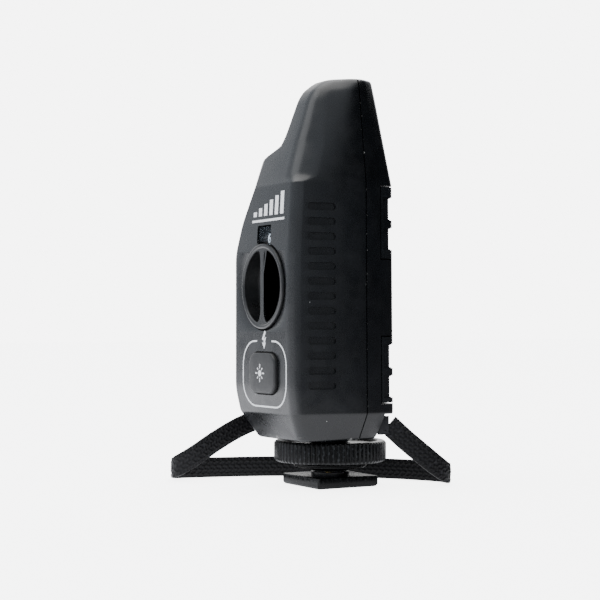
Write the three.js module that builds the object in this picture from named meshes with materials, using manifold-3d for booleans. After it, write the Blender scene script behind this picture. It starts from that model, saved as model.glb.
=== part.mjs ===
// Wireless flash trigger: a two-shell radio housing with a stub antenna, a channel dial, a test
// button, a battery door and a hot-shoe foot with a locking ring.
// Millimetres. The origin is the centre of the foot's underside, on the locking ring's axis.
// +Z is up, the dial faces -Y, the battery door faces +Y, and the antenna rises on the +X side.

import * as THREE from "three";
import { mergeVertices } from "three/addons/utils/BufferGeometryUtils.js";
import Module from "manifold-3d";

const wasm = await Module();
wasm.setup();

// ---- driving dimensions ----

const GAP = 0.3; // clearance between pieces that touch or nest
const WALL = 1.6; // housing wall
const SEAM_Y = 0.2; // plane where the two shells meet
const BODY_BOTTOM = 12.4;
const BODY_TOP = 104.2;
const CREASE_Z = 77; // where the flat front ends and the sloped top begins

const FOOT_WIDTH = 18.6;
const FOOT_LENGTH = 18;
const FOOT_THICKNESS = 2.8;
const STEM_RADIUS = 5;
const STUD_RADIUS = 4; // the stem's narrower top, above the shoulder that carries the housing
const NUT_RADIUS = 5.9; // across the nut's corners
const NUT_THICKNESS = 2;
const RING_RADIUS = 14.6;
const RING_BOTTOM = 6.4;
const RING_TOP = 11.7;

const DIAL_Z = 51.4;
const DIAL_RADIUS = 10.9;
const DIAL_FRONT_Y = -20.4;
const CUP_RADIUS = 10.2; // the dial behind its rim
const CUP_BACK_Y = -13.6;
const SCOOP_RADIUS = 9.8;
const SCOOP_FLOOR_Y = -15;
const DISC_RADIUS = 13.4; // the numbered disc behind the dial
const DISC_FRONT_Y = -17.9;
const DISC_THICKNESS = 1;
const BUTTON_X = 0.8;
const BUTTON_Z = 29.4;
const BUTTON_WIDTH = 13.6;
const BUTTON_HEIGHT = 10.4;
const BUTTON_FRONT_Y = -21;

const DOOR_BOTTOM = 22;
const DOOR_TOP = 76.6;
const DOOR_EDGE_Y = 4.9; // how far forward the door wraps round the sides
const POCKETS = [[68.4, 73.8], [60.9, 66.1], [30.9, 36.5], [23.4, 28.6]]; // finger grooves in its edges

const CELL_RADIUS = 7.2;
const CELL_X = 7.5;
const CELL_Y = 0.2;
const CELL_LENGTH = 49.3;
const NUB_LENGTH = 1.2;

const BOARD_FRONT_Y = -10.2;
const BOARD_THICKNESS = 1.6;
const BOARD_SCREWS = [{ x: 11, z: 72.5 }, { x: 11, z: 21.6 }];

// the jack, socket, lamp and slider in the far side
const SIDE = { y: -13.2, jackZ: 28, usbZ: 38.5, sliderZ: 64.5, lampZ: 55 };
const SLIDER_TRAVEL = 3;

// the strap's eyelets: a recess in each lower rear corner, with an upright bar in it
const EYELET = { x: 11.6, y: 5.9, bottom: 13.3, top: 19.1, barX: 12.9, barY: 7.3 };

// the screws that hold the two shells together at the top, and the height of each head
const SCREWS = [{ x: -8.4, z: 81.2, head: 7.6 }, { x: 9.2, z: 84.2, head: 7 }];
const SCREW_SHANK = 1.1;
const SCREW_HEAD = 2.4;
const SCREW_TIP_Y = -8;

// ---- materials ----

const FINISH = {
  shell: { color: 0x2b2e31, roughness: 0.5, metalness: 0 },
  door: { color: 0x24272a, roughness: 0.55, metalness: 0 },
  control: { color: 0x202225, roughness: 0.5, metalness: 0 },
  window: { color: 0xbfd0dc, roughness: 0.1, metalness: 0 },
  disc: { color: 0x101114, roughness: 0.6, metalness: 0 },
  steel: { color: 0xb8bcc0, roughness: 0.35, metalness: 1 },
  brass: { color: 0xb8974a, roughness: 0.35, metalness: 1 },
  foot: { color: 0x1b1c1e, roughness: 0.45, metalness: 0 },
  ring: { color: 0x1a1b1c, roughness: 0.5, metalness: 0 },
  board: { color: 0x1f5a34, roughness: 0.6, metalness: 0 },
  component: { color: 0x17181a, roughness: 0.5, metalness: 0 },
  cell: { color: 0x3a3f45, roughness: 0.35, metalness: 0.4 },
  tray: { color: 0x2a2b2d, roughness: 0.6, metalness: 0 },
  lamp: { color: 0x9fd8a8, roughness: 0.2, metalness: 0 },
  strap: { color: 0x0d0d0e, roughness: 0.9, metalness: 0 },
};

// ---- solids ----

/** Turns a closed geometry into a manifold solid. */
function solid(geometry) {
  const bare = geometry.clone();
  bare.deleteAttribute("normal");
  bare.deleteAttribute("uv");
  const merged = mergeVertices(bare, 1e-4);
  return new wasm.Manifold(
    new wasm.Mesh({
      numProp: 3,
      vertProperties: new Float32Array(merged.attributes.position.array),
      triVerts: new Uint32Array(merged.index.array),
    }),
  );
}

/** Gives a manifold solid back as a geometry. */
function geometryOf(manifold) {
  const mesh = manifold.getMesh();
  const geometry = new THREE.BufferGeometry();
  geometry.setAttribute("position", new THREE.BufferAttribute(new Float32Array(mesh.vertProperties), 3));
  geometry.setIndex(new THREE.BufferAttribute(new Uint32Array(mesh.triVerts), 1));
  geometry.computeVertexNormals();
  return geometry;
}

const union = (first, ...others) => others.reduce((sum, other) => sum.add(other), first);
const cut = (first, ...others) => others.reduce((rest, other) => rest.subtract(other), first);

/** A box between two corners. */
function block([x0, y0, z0], [x1, y1, z1]) {
  const geometry = new THREE.BoxGeometry(x1 - x0, y1 - y0, z1 - z0);
  geometry.translate((x0 + x1) / 2, (y0 + y1) / 2, (z0 + z1) / 2);
  return solid(geometry);
}

const TURN_FROM_Y = {
  x: (geometry) => geometry.rotateZ(-Math.PI / 2),
  y: (geometry) => geometry,
  z: (geometry) => geometry.rotateX(Math.PI / 2),
};

/** A cylinder from `start` to `end` along an axis; `centre` gives its place across the axis. */
function cylinder(axis, radius, start, end, centre = [0, 0], sides = 32) {
  const geometry = new THREE.CylinderGeometry(radius, radius, end - start, sides);
  TURN_FROM_Y[axis](geometry);
  const middle = (start + end) / 2;
  const [a, b] = centre;
  const place = { x: [middle, a, b], y: [a, middle, b], z: [a, b, middle] }[axis];
  geometry.translate(...place);
  return solid(geometry);
}

/** A rounded rectangle as a shape, centred on the origin. */
function roundedRectangle(width, height, radius) {
  const x = width / 2;
  const y = height / 2;
  const shape = new THREE.Shape();
  shape.moveTo(-x + radius, -y);
  shape.lineTo(x - radius, -y);
  shape.absarc(x - radius, -y + radius, radius, -Math.PI / 2, 0);
  shape.lineTo(x, y - radius);
  shape.absarc(x - radius, y - radius, radius, 0, Math.PI / 2);
  shape.lineTo(-x + radius, y);
  shape.absarc(-x + radius, y - radius, radius, Math.PI / 2, Math.PI);
  shape.lineTo(-x, -y + radius);
  shape.absarc(-x + radius, -y + radius, radius, Math.PI, Math.PI * 1.5);
  return shape;
}

/** Extrudes a shape drawn in X and Z from `start` to `end` along Y. */
function extrudeAlongY(shape, start, end, x, z, curveSegments = 5) {
  const geometry = new THREE.ExtrudeGeometry(shape, {
    depth: end - start,
    bevelEnabled: false,
    curveSegments,
  });
  geometry.rotateX(Math.PI / 2);
  geometry.translate(x, end, z);
  return solid(geometry);
}

/** A solid of revolution about Z from [radius, height] points. */
function turned(points, sides = 48) {
  const geometry = new THREE.LatheGeometry(
    points.map(([radius, height]) => new THREE.Vector2(radius, height)),
    sides,
  );
  geometry.rotateX(Math.PI / 2);
  return solid(geometry);
}

/** A round wire along a curve. */
function wire(curve, radius, steps, sides = 6) {
  const section = new THREE.Shape();
  section.absarc(0, 0, radius, 0, Math.PI * 2);
  const geometry = new THREE.ExtrudeGeometry(section, {
    steps,
    curveSegments: sides / 2,
    extrudePath: curve,
  });
  return solid(geometry);
}

/** A coil about a Z axis, whose radius may change from one end to the other. */
class Coil extends THREE.Curve {
  constructor(x, y, bottom, top, bottomRadius, topRadius, turns) {
    super();
    Object.assign(this, { x, y, bottom, top, bottomRadius, topRadius, turns });
  }

  getPoint(t, target = new THREE.Vector3()) {
    const angle = t * this.turns * Math.PI * 2;
    const radius = THREE.MathUtils.lerp(this.bottomRadius, this.topRadius, t);
    return target.set(
      this.x + radius * Math.cos(angle),
      this.y + radius * Math.sin(angle),
      THREE.MathUtils.lerp(this.bottom, this.top, t),
    );
  }
}

// ---- the housing's outer form ----

/** Reads a profile, a list of [height, value] points, at a height. */
function along(profile, z) {
  const next = profile.findIndex(([height]) => height >= z);
  if (next === 0) return profile[0][1];
  if (next < 0) return profile.at(-1)[1];
  const [z0, v0] = profile[next - 1];
  const [z1, v1] = profile[next];
  return v0 + ((v1 - v0) * (z - z0)) / (z1 - z0);
}

const CHAMFER_TOP = 19.3;
const CROWN_Z = 99.8; // where the antenna's rounded end begins

// Each profile says where one edge of the housing's section lies at each height. Near is +X, the
// antenna's side. Far is -X, where the shoulder steps in to the antenna.
const PROFILE = {
  front: [[BODY_BOTTOM, -15.4], [CHAMFER_TOP, -19.2], [25, -19.8], [60, -19.8], [CREASE_Z, -18.9],
    [CROWN_Z, -11.3], [CROWN_Z + 3, -9], [BODY_TOP, -5.5]],
  nearFront: [[BODY_BOTTOM, 11.8], [CHAMFER_TOP, 14.8], [CREASE_Z, 14.8], [CROWN_Z, 11.6],
    [CROWN_Z + 3, 10.8], [BODY_TOP, 8.5]],
  nearSeam: [[BODY_BOTTOM, 14.2], [CHAMFER_TOP, 18.2], [CREASE_Z, 17.7], [CROWN_Z, 15.2],
    [CROWN_Z + 3, 14.7], [BODY_TOP, 14]],
  nearBack: [[BODY_BOTTOM, 12.6], [CHAMFER_TOP, 16.8], [CREASE_Z, 16.2], [CROWN_Z, 12],
    [BODY_TOP, 11.2]],
  back: [[BODY_BOTTOM, 6], [CHAMFER_TOP, 9.4], [CREASE_Z, 9.4], [CROWN_Z, 6.6], [BODY_TOP, 6]],
  farBack: [[BODY_BOTTOM, -12.6], [CHAMFER_TOP, -16.8], [76, -16.8], [80.5, -14.6], [84.5, -10.6],
    [87, -6], [89, -3.4], [92, -2.2], [CROWN_Z, -1.2], [CROWN_Z + 3, 0], [BODY_TOP, 2.6]],
  farSeam: [[BODY_BOTTOM, -14.2], [CHAMFER_TOP, -18.2], [76, -18.2], [80.5, -16], [84.5, -12],
    [87, -7.4], [89, -4], [92, -2.6], [CROWN_Z, -1.6], [CROWN_Z + 3, -0.4], [BODY_TOP, 2.2]],
  // the bevel between the front face and the far side, which widens towards the shoulder
  bevelSideX: [[BODY_BOTTOM, -12.4], [CHAMFER_TOP, -15.8], [25, -17.2], [60, -17.2], [68, -16.4],
    [CREASE_Z, -13.4], [81, -12.4], [84.8, -11.4], [86, -8], [87.2, -3.6], [90, -2],
    [CROWN_Z, -0.8], [CROWN_Z + 3, 0.6], [BODY_TOP, 3.2]],
  bevelDepth: [[BODY_BOTTOM, 2], [60, 1.6], [68, 2.4], [CREASE_Z, 3.6], [84.8, 2.6], [87.2, 2.8],
    [BODY_TOP, 2.4]],
  bevelFrontX: [[BODY_BOTTOM, -10.4], [CHAMFER_TOP, -13.8], [25, -15.4], [60, -15.4], [68, -12.2],
    [CREASE_Z, -6.2], [84.8, -5.6], [86, -2], [87.2, 1.4], [90, 2.5], [CROWN_Z, 3.6],
    [CROWN_Z + 3, 4.2], [BODY_TOP, 5]],
};

// the near front corner is tight on the body and broad on the antenna
const NEAR_FRONT_RADIUS = [[CREASE_Z, 3], [CREASE_Z + 1.5, 8], [CREASE_Z + 9, 11]];
const OTHER_RADII = [18, 2.6, 2.6, 18, 1.6, 1.6];
const ARC_STEPS = 3;

/** The seven corners of the housing's section at a height, anticlockwise from the near front. */
function sectionCorners(z) {
  const at = Object.fromEntries(Object.entries(PROFILE).map(([name, line]) => [name, along(line, z)]));
  return [
    [at.nearFront, at.front],
    [at.nearSeam, SEAM_Y],
    [at.nearBack, at.back],
    [at.farBack, at.back],
    [at.farSeam, SEAM_Y],
    [at.bevelSideX, at.front + at.bevelDepth],
    [at.bevelFrontX, at.front],
  ].map(([x, y]) => new THREE.Vector2(x, y));
}

/** Moves every edge of an anticlockwise polygon inwards. */
function insetPolygon(corners, distance) {
  const count = corners.length;
  const edges = corners.map((corner, i) => {
    const direction = corners[(i + 1) % count].clone().sub(corner).normalize();
    const inward = new THREE.Vector2(-direction.y, direction.x);
    return { start: corner.clone().addScaledVector(inward, distance), direction };
  });
  return edges.map((edge, i) => {
    const before = edges[(i + count - 1) % count];
    const across = before.direction.cross(edge.direction);
    const between = edge.start.clone().sub(before.start);
    const travel = between.cross(edge.direction) / across;
    return before.start.clone().addScaledVector(before.direction, travel);
  });
}

/** Rounds each corner of an anticlockwise polygon with its own radius. */
function roundPolygon(corners, radii) {
  const count = corners.length;
  return corners.flatMap((corner, i) => {
    const before = corners[(i + count - 1) % count].clone().sub(corner);
    const after = corners[(i + 1) % count].clone().sub(corner);
    const turn = Math.PI - Math.acos(before.clone().normalize().dot(after.clone().normalize()));
    const room = 0.48 * Math.min(before.length(), after.length());
    const tangent = Math.min(radii[i] * Math.tan(turn / 2), room);
    const from = corner.clone().addScaledVector(before.normalize(), tangent);
    const to = corner.clone().addScaledVector(after.normalize(), tangent);
    const curve = new THREE.QuadraticBezierCurve(from, corner, to);
    return curve.getPoints(ARC_STEPS);
  });
}

/** The housing's rounded section at a height, `inset` inside its surface. */
function section(z, inset) {
  const radii = [along(NEAR_FRONT_RADIUS, z), ...OTHER_RADII].map((radius) => Math.max(radius - inset, 0.4));
  return roundPolygon(insetPolygon(sectionCorners(z), inset), radii);
}

/** Skins rows of points that are all equally long, and closes both ends. */
function skin(rows) {
  const width = rows[0].length;
  const faces = [];
  for (let row = 0; row < rows.length - 1; row += 1) {
    for (let i = 0; i < width; i += 1) {
      const a = row * width + i;
      const b = row * width + ((i + 1) % width);
      faces.push(a, b, b + width, a, b + width, a + width);
    }
  }
  const end = (rows.length - 1) * width;
  for (let i = 1; i < width - 1; i += 1) {
    faces.push(0, i + 1, i);
    faces.push(end, end + i, end + i + 1);
  }
  const geometry = new THREE.BufferGeometry();
  geometry.setAttribute("position", new THREE.Float32BufferAttribute(rows.flat(2), 3));
  geometry.setIndex(faces);
  return solid(geometry);
}

/** The housing's form between the lowest and highest of some heights. */
function loft(heights, inset) {
  return skin(heights.map((z) => section(z, inset).map((point) => [point.x, point.y, z])));
}

const OUTER_HEIGHTS = [BODY_BOTTOM, CHAMFER_TOP, 25, 60, 68, CREASE_Z, 80.5, 82.5, 84.8, 86, 87.2, 88.4,
  90, 95.5, CROWN_Z, CROWN_Z + 1.6, CROWN_Z + 3, CROWN_Z + 3.8, BODY_TOP];
const INNER_HEIGHTS = [BODY_BOTTOM + WALL, CHAMFER_TOP, 25, 60, 68, CREASE_Z, 82.5, 84.8, 87.2, 90,
  CROWN_Z, BODY_TOP - WALL];

const outerForm = loft(OUTER_HEIGHTS, 0);
const innerForm = loft(INNER_HEIGHTS, WALL);
const FAR = 60; // larger than the object, for cutting boxes

const frontHalf = block([-FAR, -FAR, -FAR], [FAR, SEAM_Y - GAP / 2, 2 * FAR]);
const rearHalf = block([-FAR, SEAM_Y + GAP / 2, -FAR], [FAR, FAR, 2 * FAR]);

/** A block that runs outwards to one side (-1 or 1) from `x`, and back from `y`. */
function outwardBlock(side, x, y, bottom, top, yEnd = FAR) {
  const [x0, x1] = [side * x, side * FAR].sort((a, b) => a - b);
  return block([x0, y, bottom], [x1, yEnd, top]);
}

/** The region that the battery door fills, grown by `clearance`. */
function doorRegion(clearance) {
  const tongueReach = 8.3; // the shell's side wall reaches back as a tongue between the ribs
  const tongueBottom = 38.6;
  const tongueTop = 58.4;
  const whole = block(
    [-FAR, DOOR_EDGE_Y - clearance, DOOR_BOTTOM - clearance],
    [FAR, FAR, DOOR_TOP + clearance],
  );
  const tongues = [-1, 1].map((side) => (
    outwardBlock(side, 13.4, -FAR, tongueBottom + clearance, tongueTop - clearance, tongueReach - clearance)
  ));
  return cut(whole, ...tongues);
}

// ---- nodes ----

function frontShell() {
  const dialHole = cylinder("y", DIAL_RADIUS + GAP, -FAR, -17, [0, DIAL_Z], 48);
  const buttonHole = extrudeAlongY(
    roundedRectangle(BUTTON_WIDTH + 2 * GAP, BUTTON_HEIGHT + 2 * GAP, 3.4), -FAR, -16, BUTTON_X, BUTTON_Z,
  );
  const windowHole = block([-3.6, -FAR, 62.4], [3.6, -17.6, 67]);
  const discRelief = cylinder(
    "y", DISC_RADIUS + GAP, DISC_FRONT_Y - GAP, DISC_FRONT_Y + DISC_THICKNESS + GAP, [0, DIAL_Z], 48,
  );
  const stemHole = cylinder("z", STUD_RADIUS + GAP, 0, BODY_BOTTOM + 4);
  const bosses = SCREWS.map(({ x, z }) => cylinder("y", 2.6, -FAR, SEAM_Y - GAP / 2, [x, z], 16));
  const pilots = SCREWS.map(({ x, z }) => cylinder("y", SCREW_SHANK + GAP, SCREW_TIP_Y, FAR, [x, z], 16));
  const sideHoles = [
    cylinder("x", 3.1, -FAR, 0, [SIDE.y, SIDE.jackZ], 24),
    block([-FAR, SIDE.y - 1.9, SIDE.usbZ - 4.2], [0, SIDE.y + 1.9, SIDE.usbZ + 4.2]),
    block([-FAR, SIDE.y - 1.7, SIDE.sliderZ - 5.2], [0, SIDE.y + 1.7, SIDE.sliderZ + 5.2]),
    cylinder("x", 1.3, -FAR, 0, [SIDE.y, SIDE.lampZ], 16),
  ];
  const wall = cut(outerForm.intersect(frontHalf), innerForm);
  const boardPosts = BOARD_SCREWS.map(({ x, z }) => (
    cylinder("y", 2, -FAR, BOARD_FRONT_Y - GAP, [x, z], 16)
  ));
  const posts = union(...bosses, ...boardPosts).intersect(outerForm);
  const boardPilots = BOARD_SCREWS.map(({ x, z }) => (
    cylinder("y", 1.1, BOARD_FRONT_Y - 4.5, FAR, [x, z], 12)
  ));
  return cut(
    union(wall, posts),
    dialHole, discRelief, buttonHole, windowHole, stemHole, ...pilots, ...boardPilots, ...sideHoles,
  );
}

function rearShell() {
  const stemHole = cylinder("z", STUD_RADIUS + GAP, 0, BODY_BOTTOM + 4);
  const bosses = SCREWS.map(({ x, z, head }) => (
    cylinder("y", SCREW_HEAD + 0.8, SEAM_Y + GAP / 2, head + 1, [x, z], 20)
  ));
  const bores = SCREWS.map(({ x, z }) => cylinder("y", SCREW_SHANK + GAP, -FAR, FAR, [x, z], 16));
  const counterbores = SCREWS.map(({ x, z, head }) => (
    cylinder("y", SCREW_HEAD + GAP, head - 2, FAR, [x, z], 20)
  ));
  const wall = cut(outerForm.intersect(rearHalf), innerForm);
  const corners = [-1, 1].map((side) => outwardBlock(side, EYELET.x - 1.2, EYELET.y - 1.2, 12.8, 19.9));
  const eyelets = [-1, 1].map((side) => outwardBlock(side, EYELET.x, EYELET.y, EYELET.bottom, EYELET.top));
  const solids = union(...bosses, ...corners).intersect(outerForm);
  return cut(
    union(cut(wall, doorRegion(GAP)), solids),
    ...eyelets, stemHole, ...bores, ...counterbores,
  );
}

function batteryDoor() {
  const panel = cut(outerForm, loft([BODY_BOTTOM + 2, CHAMFER_TOP, 60, CREASE_Z + 2], 1.7));
  const depth = 0.8;
  const recess = cut(
    block([-FAR, DOOR_EDGE_Y + 0.9, 0], [FAR, FAR, FAR * 2]),
    loft([CHAMFER_TOP, 60, CREASE_Z + 1], depth),
  );
  const grooves = POCKETS.flatMap(([low, high]) => [-1, 1].map((side) => (
    outwardBlock(side, 11.5, 0, low, high).intersect(recess)
  )));
  return cut(panel.intersect(doorRegion(0)), ...grooves);
}

function channelDial() {
  const rimBack = DIAL_FRONT_Y + 2;
  const rim = cylinder("y", DIAL_RADIUS, DIAL_FRONT_Y, rimBack, [0, DIAL_Z], 48);
  const cup = cylinder("y", CUP_RADIUS, rimBack - 0.1, CUP_BACK_Y, [0, DIAL_Z], 40);
  const scoop = cylinder("y", SCOOP_RADIUS, -FAR, SCOOP_FLOOR_Y, [0, DIAL_Z], 40);
  const ridge = block([-1.1, DIAL_FRONT_Y + 0.2, 0], [1.1, 0, FAR * 2]);
  return cut(union(rim, cup), cut(scoop, ridge));
}

function channelDisc() {
  const back = DISC_FRONT_Y + DISC_THICKNESS;
  const plate = cylinder("y", DISC_RADIUS, DISC_FRONT_Y, back, [0, DIAL_Z], 48);
  return cut(plate, cylinder("y", CUP_RADIUS + GAP, -FAR, 0, [0, DIAL_Z], 40));
}

function dialShaft() {
  const round = cylinder("y", 2, CUP_BACK_Y + GAP, -11.2, [0, DIAL_Z], 20);
  return cut(round, block([1.3, -FAR, 0], [FAR, 0, FAR]));
}

function rotarySwitch() {
  const body = block([-5, -13, DIAL_Z - 5], [5, BOARD_FRONT_Y - GAP, DIAL_Z + 5]);
  return cut(body, cylinder("y", 2.4, -FAR, -10.9, [0, DIAL_Z], 20));
}

function testButton() {
  const capBack = BUTTON_FRONT_Y + 3.6;
  const cap = extrudeAlongY(
    roundedRectangle(BUTTON_WIDTH, BUTTON_HEIGHT, 3.1), BUTTON_FRONT_Y, capBack, BUTTON_X, BUTTON_Z,
  );
  const flange = extrudeAlongY(
    roundedRectangle(BUTTON_WIDTH + 2, BUTTON_HEIGHT + 2, 3.2), capBack - 0.4, capBack + 0.6,
    BUTTON_X, BUTTON_Z,
  );
  const plunger = cylinder("y", 1.6, -17, -13.9, [BUTTON_X, BUTTON_Z], 16);
  return union(cap, flange, plunger);
}

function testSwitch() {
  const body = block(
    [BUTTON_X - 3, -12.6, BUTTON_Z - 3],
    [BUTTON_X + 3, BOARD_FRONT_Y - GAP, BUTTON_Z + 3],
  );
  return union(body, cylinder("y", 1.7, -13.2, -12.5, [BUTTON_X, BUTTON_Z], 16));
}

function mainBoard() {
  const back = BOARD_FRONT_Y + BOARD_THICKNESS;
  const sheet = block([-13, BOARD_FRONT_Y, 20.2], [13, back, 75]);
  const holes = BOARD_SCREWS.map(({ x, z }) => cylinder("y", 1.2, -FAR, 0, [x, z], 12));
  return cut(sheet, ...holes);
}

function boardScrew({ x, z }) {
  const back = BOARD_FRONT_Y + BOARD_THICKNESS;
  const head = cylinder("y", 1.8, back + 0.1, back + 0.9, [x, z], 16);
  return union(head, cylinder("y", 0.8, BOARD_FRONT_Y - 4, back + 0.2, [x, z], 12));
}

/** A countersunk-slot shell screw: round head, cross recess and shank. */
function shellScrew({ x, z, head }) {
  const front = head - 1.7;
  const top = cylinder("y", SCREW_HEAD, front, front + 1.6, [x, z], 20);
  const shank = cylinder("y", SCREW_SHANK, SCREW_TIP_Y + 0.9, front + 0.1, [x, z], 12);
  const slots = [
    block([x - 1.5, front + 0.9, z - 0.3], [x + 1.5, FAR, z + 0.3]),
    block([x - 0.3, front + 0.9, z - 1.5], [x + 0.3, FAR, z + 1.5]),
  ];
  return cut(union(top, shank), ...slots);
}

function syncJack() {
  const body = block([-14.9, SIDE.y - 2.5, SIDE.jackZ - 3.6], [-6.6, BOARD_FRONT_Y - GAP, SIDE.jackZ + 3.6]);
  const nose = cylinder("x", 2.8, -16.3, -14.8, [SIDE.y, SIDE.jackZ], 24);
  return cut(union(body, nose), cylinder("x", 1.8, -FAR, -8, [SIDE.y, SIDE.jackZ], 20));
}

function usbSocket() {
  const body = block([-15.6, SIDE.y - 1.6, SIDE.usbZ - 3.9], [-13, SIDE.y + 1.6, SIDE.usbZ + 3.9]);
  return cut(body, block([-FAR, SIDE.y - 1.1, SIDE.usbZ - 3.4], [-13.6, SIDE.y + 1.1, SIDE.usbZ + 3.4]));
}

function powerSwitch() {
  return block([-12.6, SIDE.y - 1.5, SIDE.sliderZ - 4.5], [-8, BOARD_FRONT_Y - GAP, SIDE.sliderZ + 4.5]);
}

/** The slider's thumb piece at its lower, off, position, with a retaining flange inside the wall. */
function powerSlider() {
  const centre = SIDE.sliderZ - SLIDER_TRAVEL / 2;
  const thumb = block([-16.6, SIDE.y - 1.3, centre - 3.2], [-13.6, SIDE.y + 1.3, centre + 3.2]);
  const grooves = [-1.8, 0, 1.8].map((offset) => (
    block([-FAR, -FAR, centre + offset - 0.35], [-16.2, 0, centre + offset + 0.35])
  ));
  const flange = block([-13.7, SIDE.y - 1.9, centre - 4], [-12.9, SIDE.y + 1.9, centre + 4]);
  return cut(union(thumb, flange), ...grooves);
}

function statusLed() {
  return cylinder("x", 1, -16.5, -12.6, [SIDE.y, SIDE.lampZ], 16);
}

function antennaElement() {
  return block([1.4, -3.6, 78.6], [6, -2.4, 99]);
}

function rfShield() {
  const lid = block([-7.6, -13.4, 63.6], [1.4, BOARD_FRONT_Y - GAP, 74]);
  return cut(lid, block([-7.2, -13, 64], [1, 0, 73.6]));
}

const TRAY_BOTTOM = 19.8;
const TRAY_TOP = 77.4;

/** The frame behind the board: a back sheet with an end wall below and above the cells. */
function batteryTray() {
  const sheet = block([-13.6, -8, TRAY_BOTTOM], [13.6, -7.2, TRAY_TOP]);
  const ends = [[TRAY_BOTTOM, TRAY_BOTTOM + 1.2], [TRAY_TOP - 1.2, TRAY_TOP]].map(([low, high]) => (
    block([-13.6, -7.6, low], [13.6, 4.2, high])
  ));
  const reliefs = BOARD_SCREWS.map(({ x, z }) => cylinder("y", 2.2, -FAR, 0, [x, z], 16));
  return cut(union(sheet, ...ends), ...reliefs);
}

/** An AA cell: a can with a nub at one end. */
function battery(x, canBottom, nubBottom) {
  const can = cylinder("z", CELL_RADIUS, canBottom, canBottom + CELL_LENGTH, [x, CELL_Y], 32);
  const nub = cylinder("z", 2.6, nubBottom, nubBottom + NUB_LENGTH + 0.1, [x, CELL_Y], 20);
  return union(can, nub);
}

function batterySpring(x, bottom, top, wideAtBottom) {
  const wide = 3.6;
  const narrow = 2.2;
  const [low, high] = wideAtBottom ? [wide, narrow] : [narrow, wide];
  return wire(new Coil(x, CELL_Y, bottom + 0.35, top - 0.35, low, high, 2.5), 0.3, 36);
}

function contactPlate(x0, x1, z) {
  return block([x0, CELL_Y - 4.5, z], [x1, CELL_Y + 4.5, z + 0.4]);
}

function footPlate() {
  const half = FOOT_LENGTH / 2;
  const outline = new THREE.Shape();
  outline.moveTo(-FOOT_WIDTH / 2 + 0.6, 0);
  outline.lineTo(FOOT_WIDTH / 2 - 0.6, 0);
  outline.lineTo(FOOT_WIDTH / 2, 0.6);
  outline.lineTo(FOOT_WIDTH / 2, FOOT_THICKNESS);
  outline.lineTo(-FOOT_WIDTH / 2, FOOT_THICKNESS);
  outline.lineTo(-FOOT_WIDTH / 2, 0.6);
  const plate = extrudeAlongY(outline, -half, half, 0, 0);
  const neck = cylinder("z", STEM_RADIUS, FOOT_THICKNESS - 0.1, FOOT_THICKNESS + 0.8, [0, 0], 32);
  return cut(union(plate, neck), cylinder("z", 1.6, -1, 6, [0, 0], 20));
}

function footStem() {
  const rod = turned([
    [0, 3.9], [STEM_RADIUS, 3.9], [STEM_RADIUS, 12.1], [STUD_RADIUS, 12.1], [STUD_RADIUS, 17.4],
    [STUD_RADIUS - 0.5, 17.9], [0, 17.9],
  ], 32);
  return cut(rod, cylinder("z", 1.6, 0, 9, [0, 0], 20));
}

/** The nut that holds the stem to the housing's floor. */
function stemNut() {
  const hexagon = new THREE.CylinderGeometry(NUT_RADIUS, NUT_RADIUS, NUT_THICKNESS, 6);
  hexagon.rotateY(Math.PI / 6);
  hexagon.rotateX(Math.PI / 2);
  hexagon.translate(0, 0, BODY_BOTTOM + WALL + GAP + NUT_THICKNESS / 2);
  return cut(solid(hexagon), cylinder("z", STUD_RADIUS + GAP, 0, FAR, [0, 0], 24));
}

function clampWasher() {
  const bottom = 4.5;
  const top = RING_BOTTOM - GAP;
  const inner = STEM_RADIUS + GAP;
  return turned([
    [inner, bottom], [7.6, bottom], [9.5, bottom + 0.6], [9.5, top - 0.3], [9.2, top], [inner, top],
    [inner, bottom],
  ], 40);
}

/** The ring's knurled outline: ribs of equal pitch. */
function lockingRing() {
  const ribs = 56;
  const shape = new THREE.Shape();
  for (let rib = 0; rib < ribs; rib += 1) {
    const angle = (rib / ribs) * Math.PI * 2;
    const half = (0.25 / ribs) * Math.PI * 2;
    const crest = [RING_RADIUS * Math.cos(angle - half), RING_RADIUS * Math.sin(angle - half)];
    const root = [(RING_RADIUS - 0.4) * Math.cos(angle + half), (RING_RADIUS - 0.4) * Math.sin(angle + half)];
    if (rib === 0) shape.moveTo(...crest);
    else shape.lineTo(...crest);
    shape.lineTo(...root);
  }
  const geometry = new THREE.ExtrudeGeometry(shape, { depth: RING_TOP - RING_BOTTOM, bevelEnabled: false });
  geometry.translate(0, 0, RING_BOTTOM);
  const dish = cylinder("z", 12.4, RING_TOP - 0.8, FAR, [0, 0], 40);
  return cut(solid(geometry), dish, cylinder("z", STEM_RADIUS + GAP, 0, FAR, [0, 0], 32));
}

function contactPin() {
  return cylinder("z", 1.3, 0, 5.2, [0, 0], 20);
}

function contactSpring() {
  return wire(new Coil(0, 0, 5.75, 8.5, 1.05, 1.05, 4), 0.22, 48);
}

function lanyardBar(side) {
  return cylinder("z", 0.8, EYELET.bottom + GAP, EYELET.top - GAP, [side * EYELET.barX, EYELET.barY], 16);
}

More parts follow.
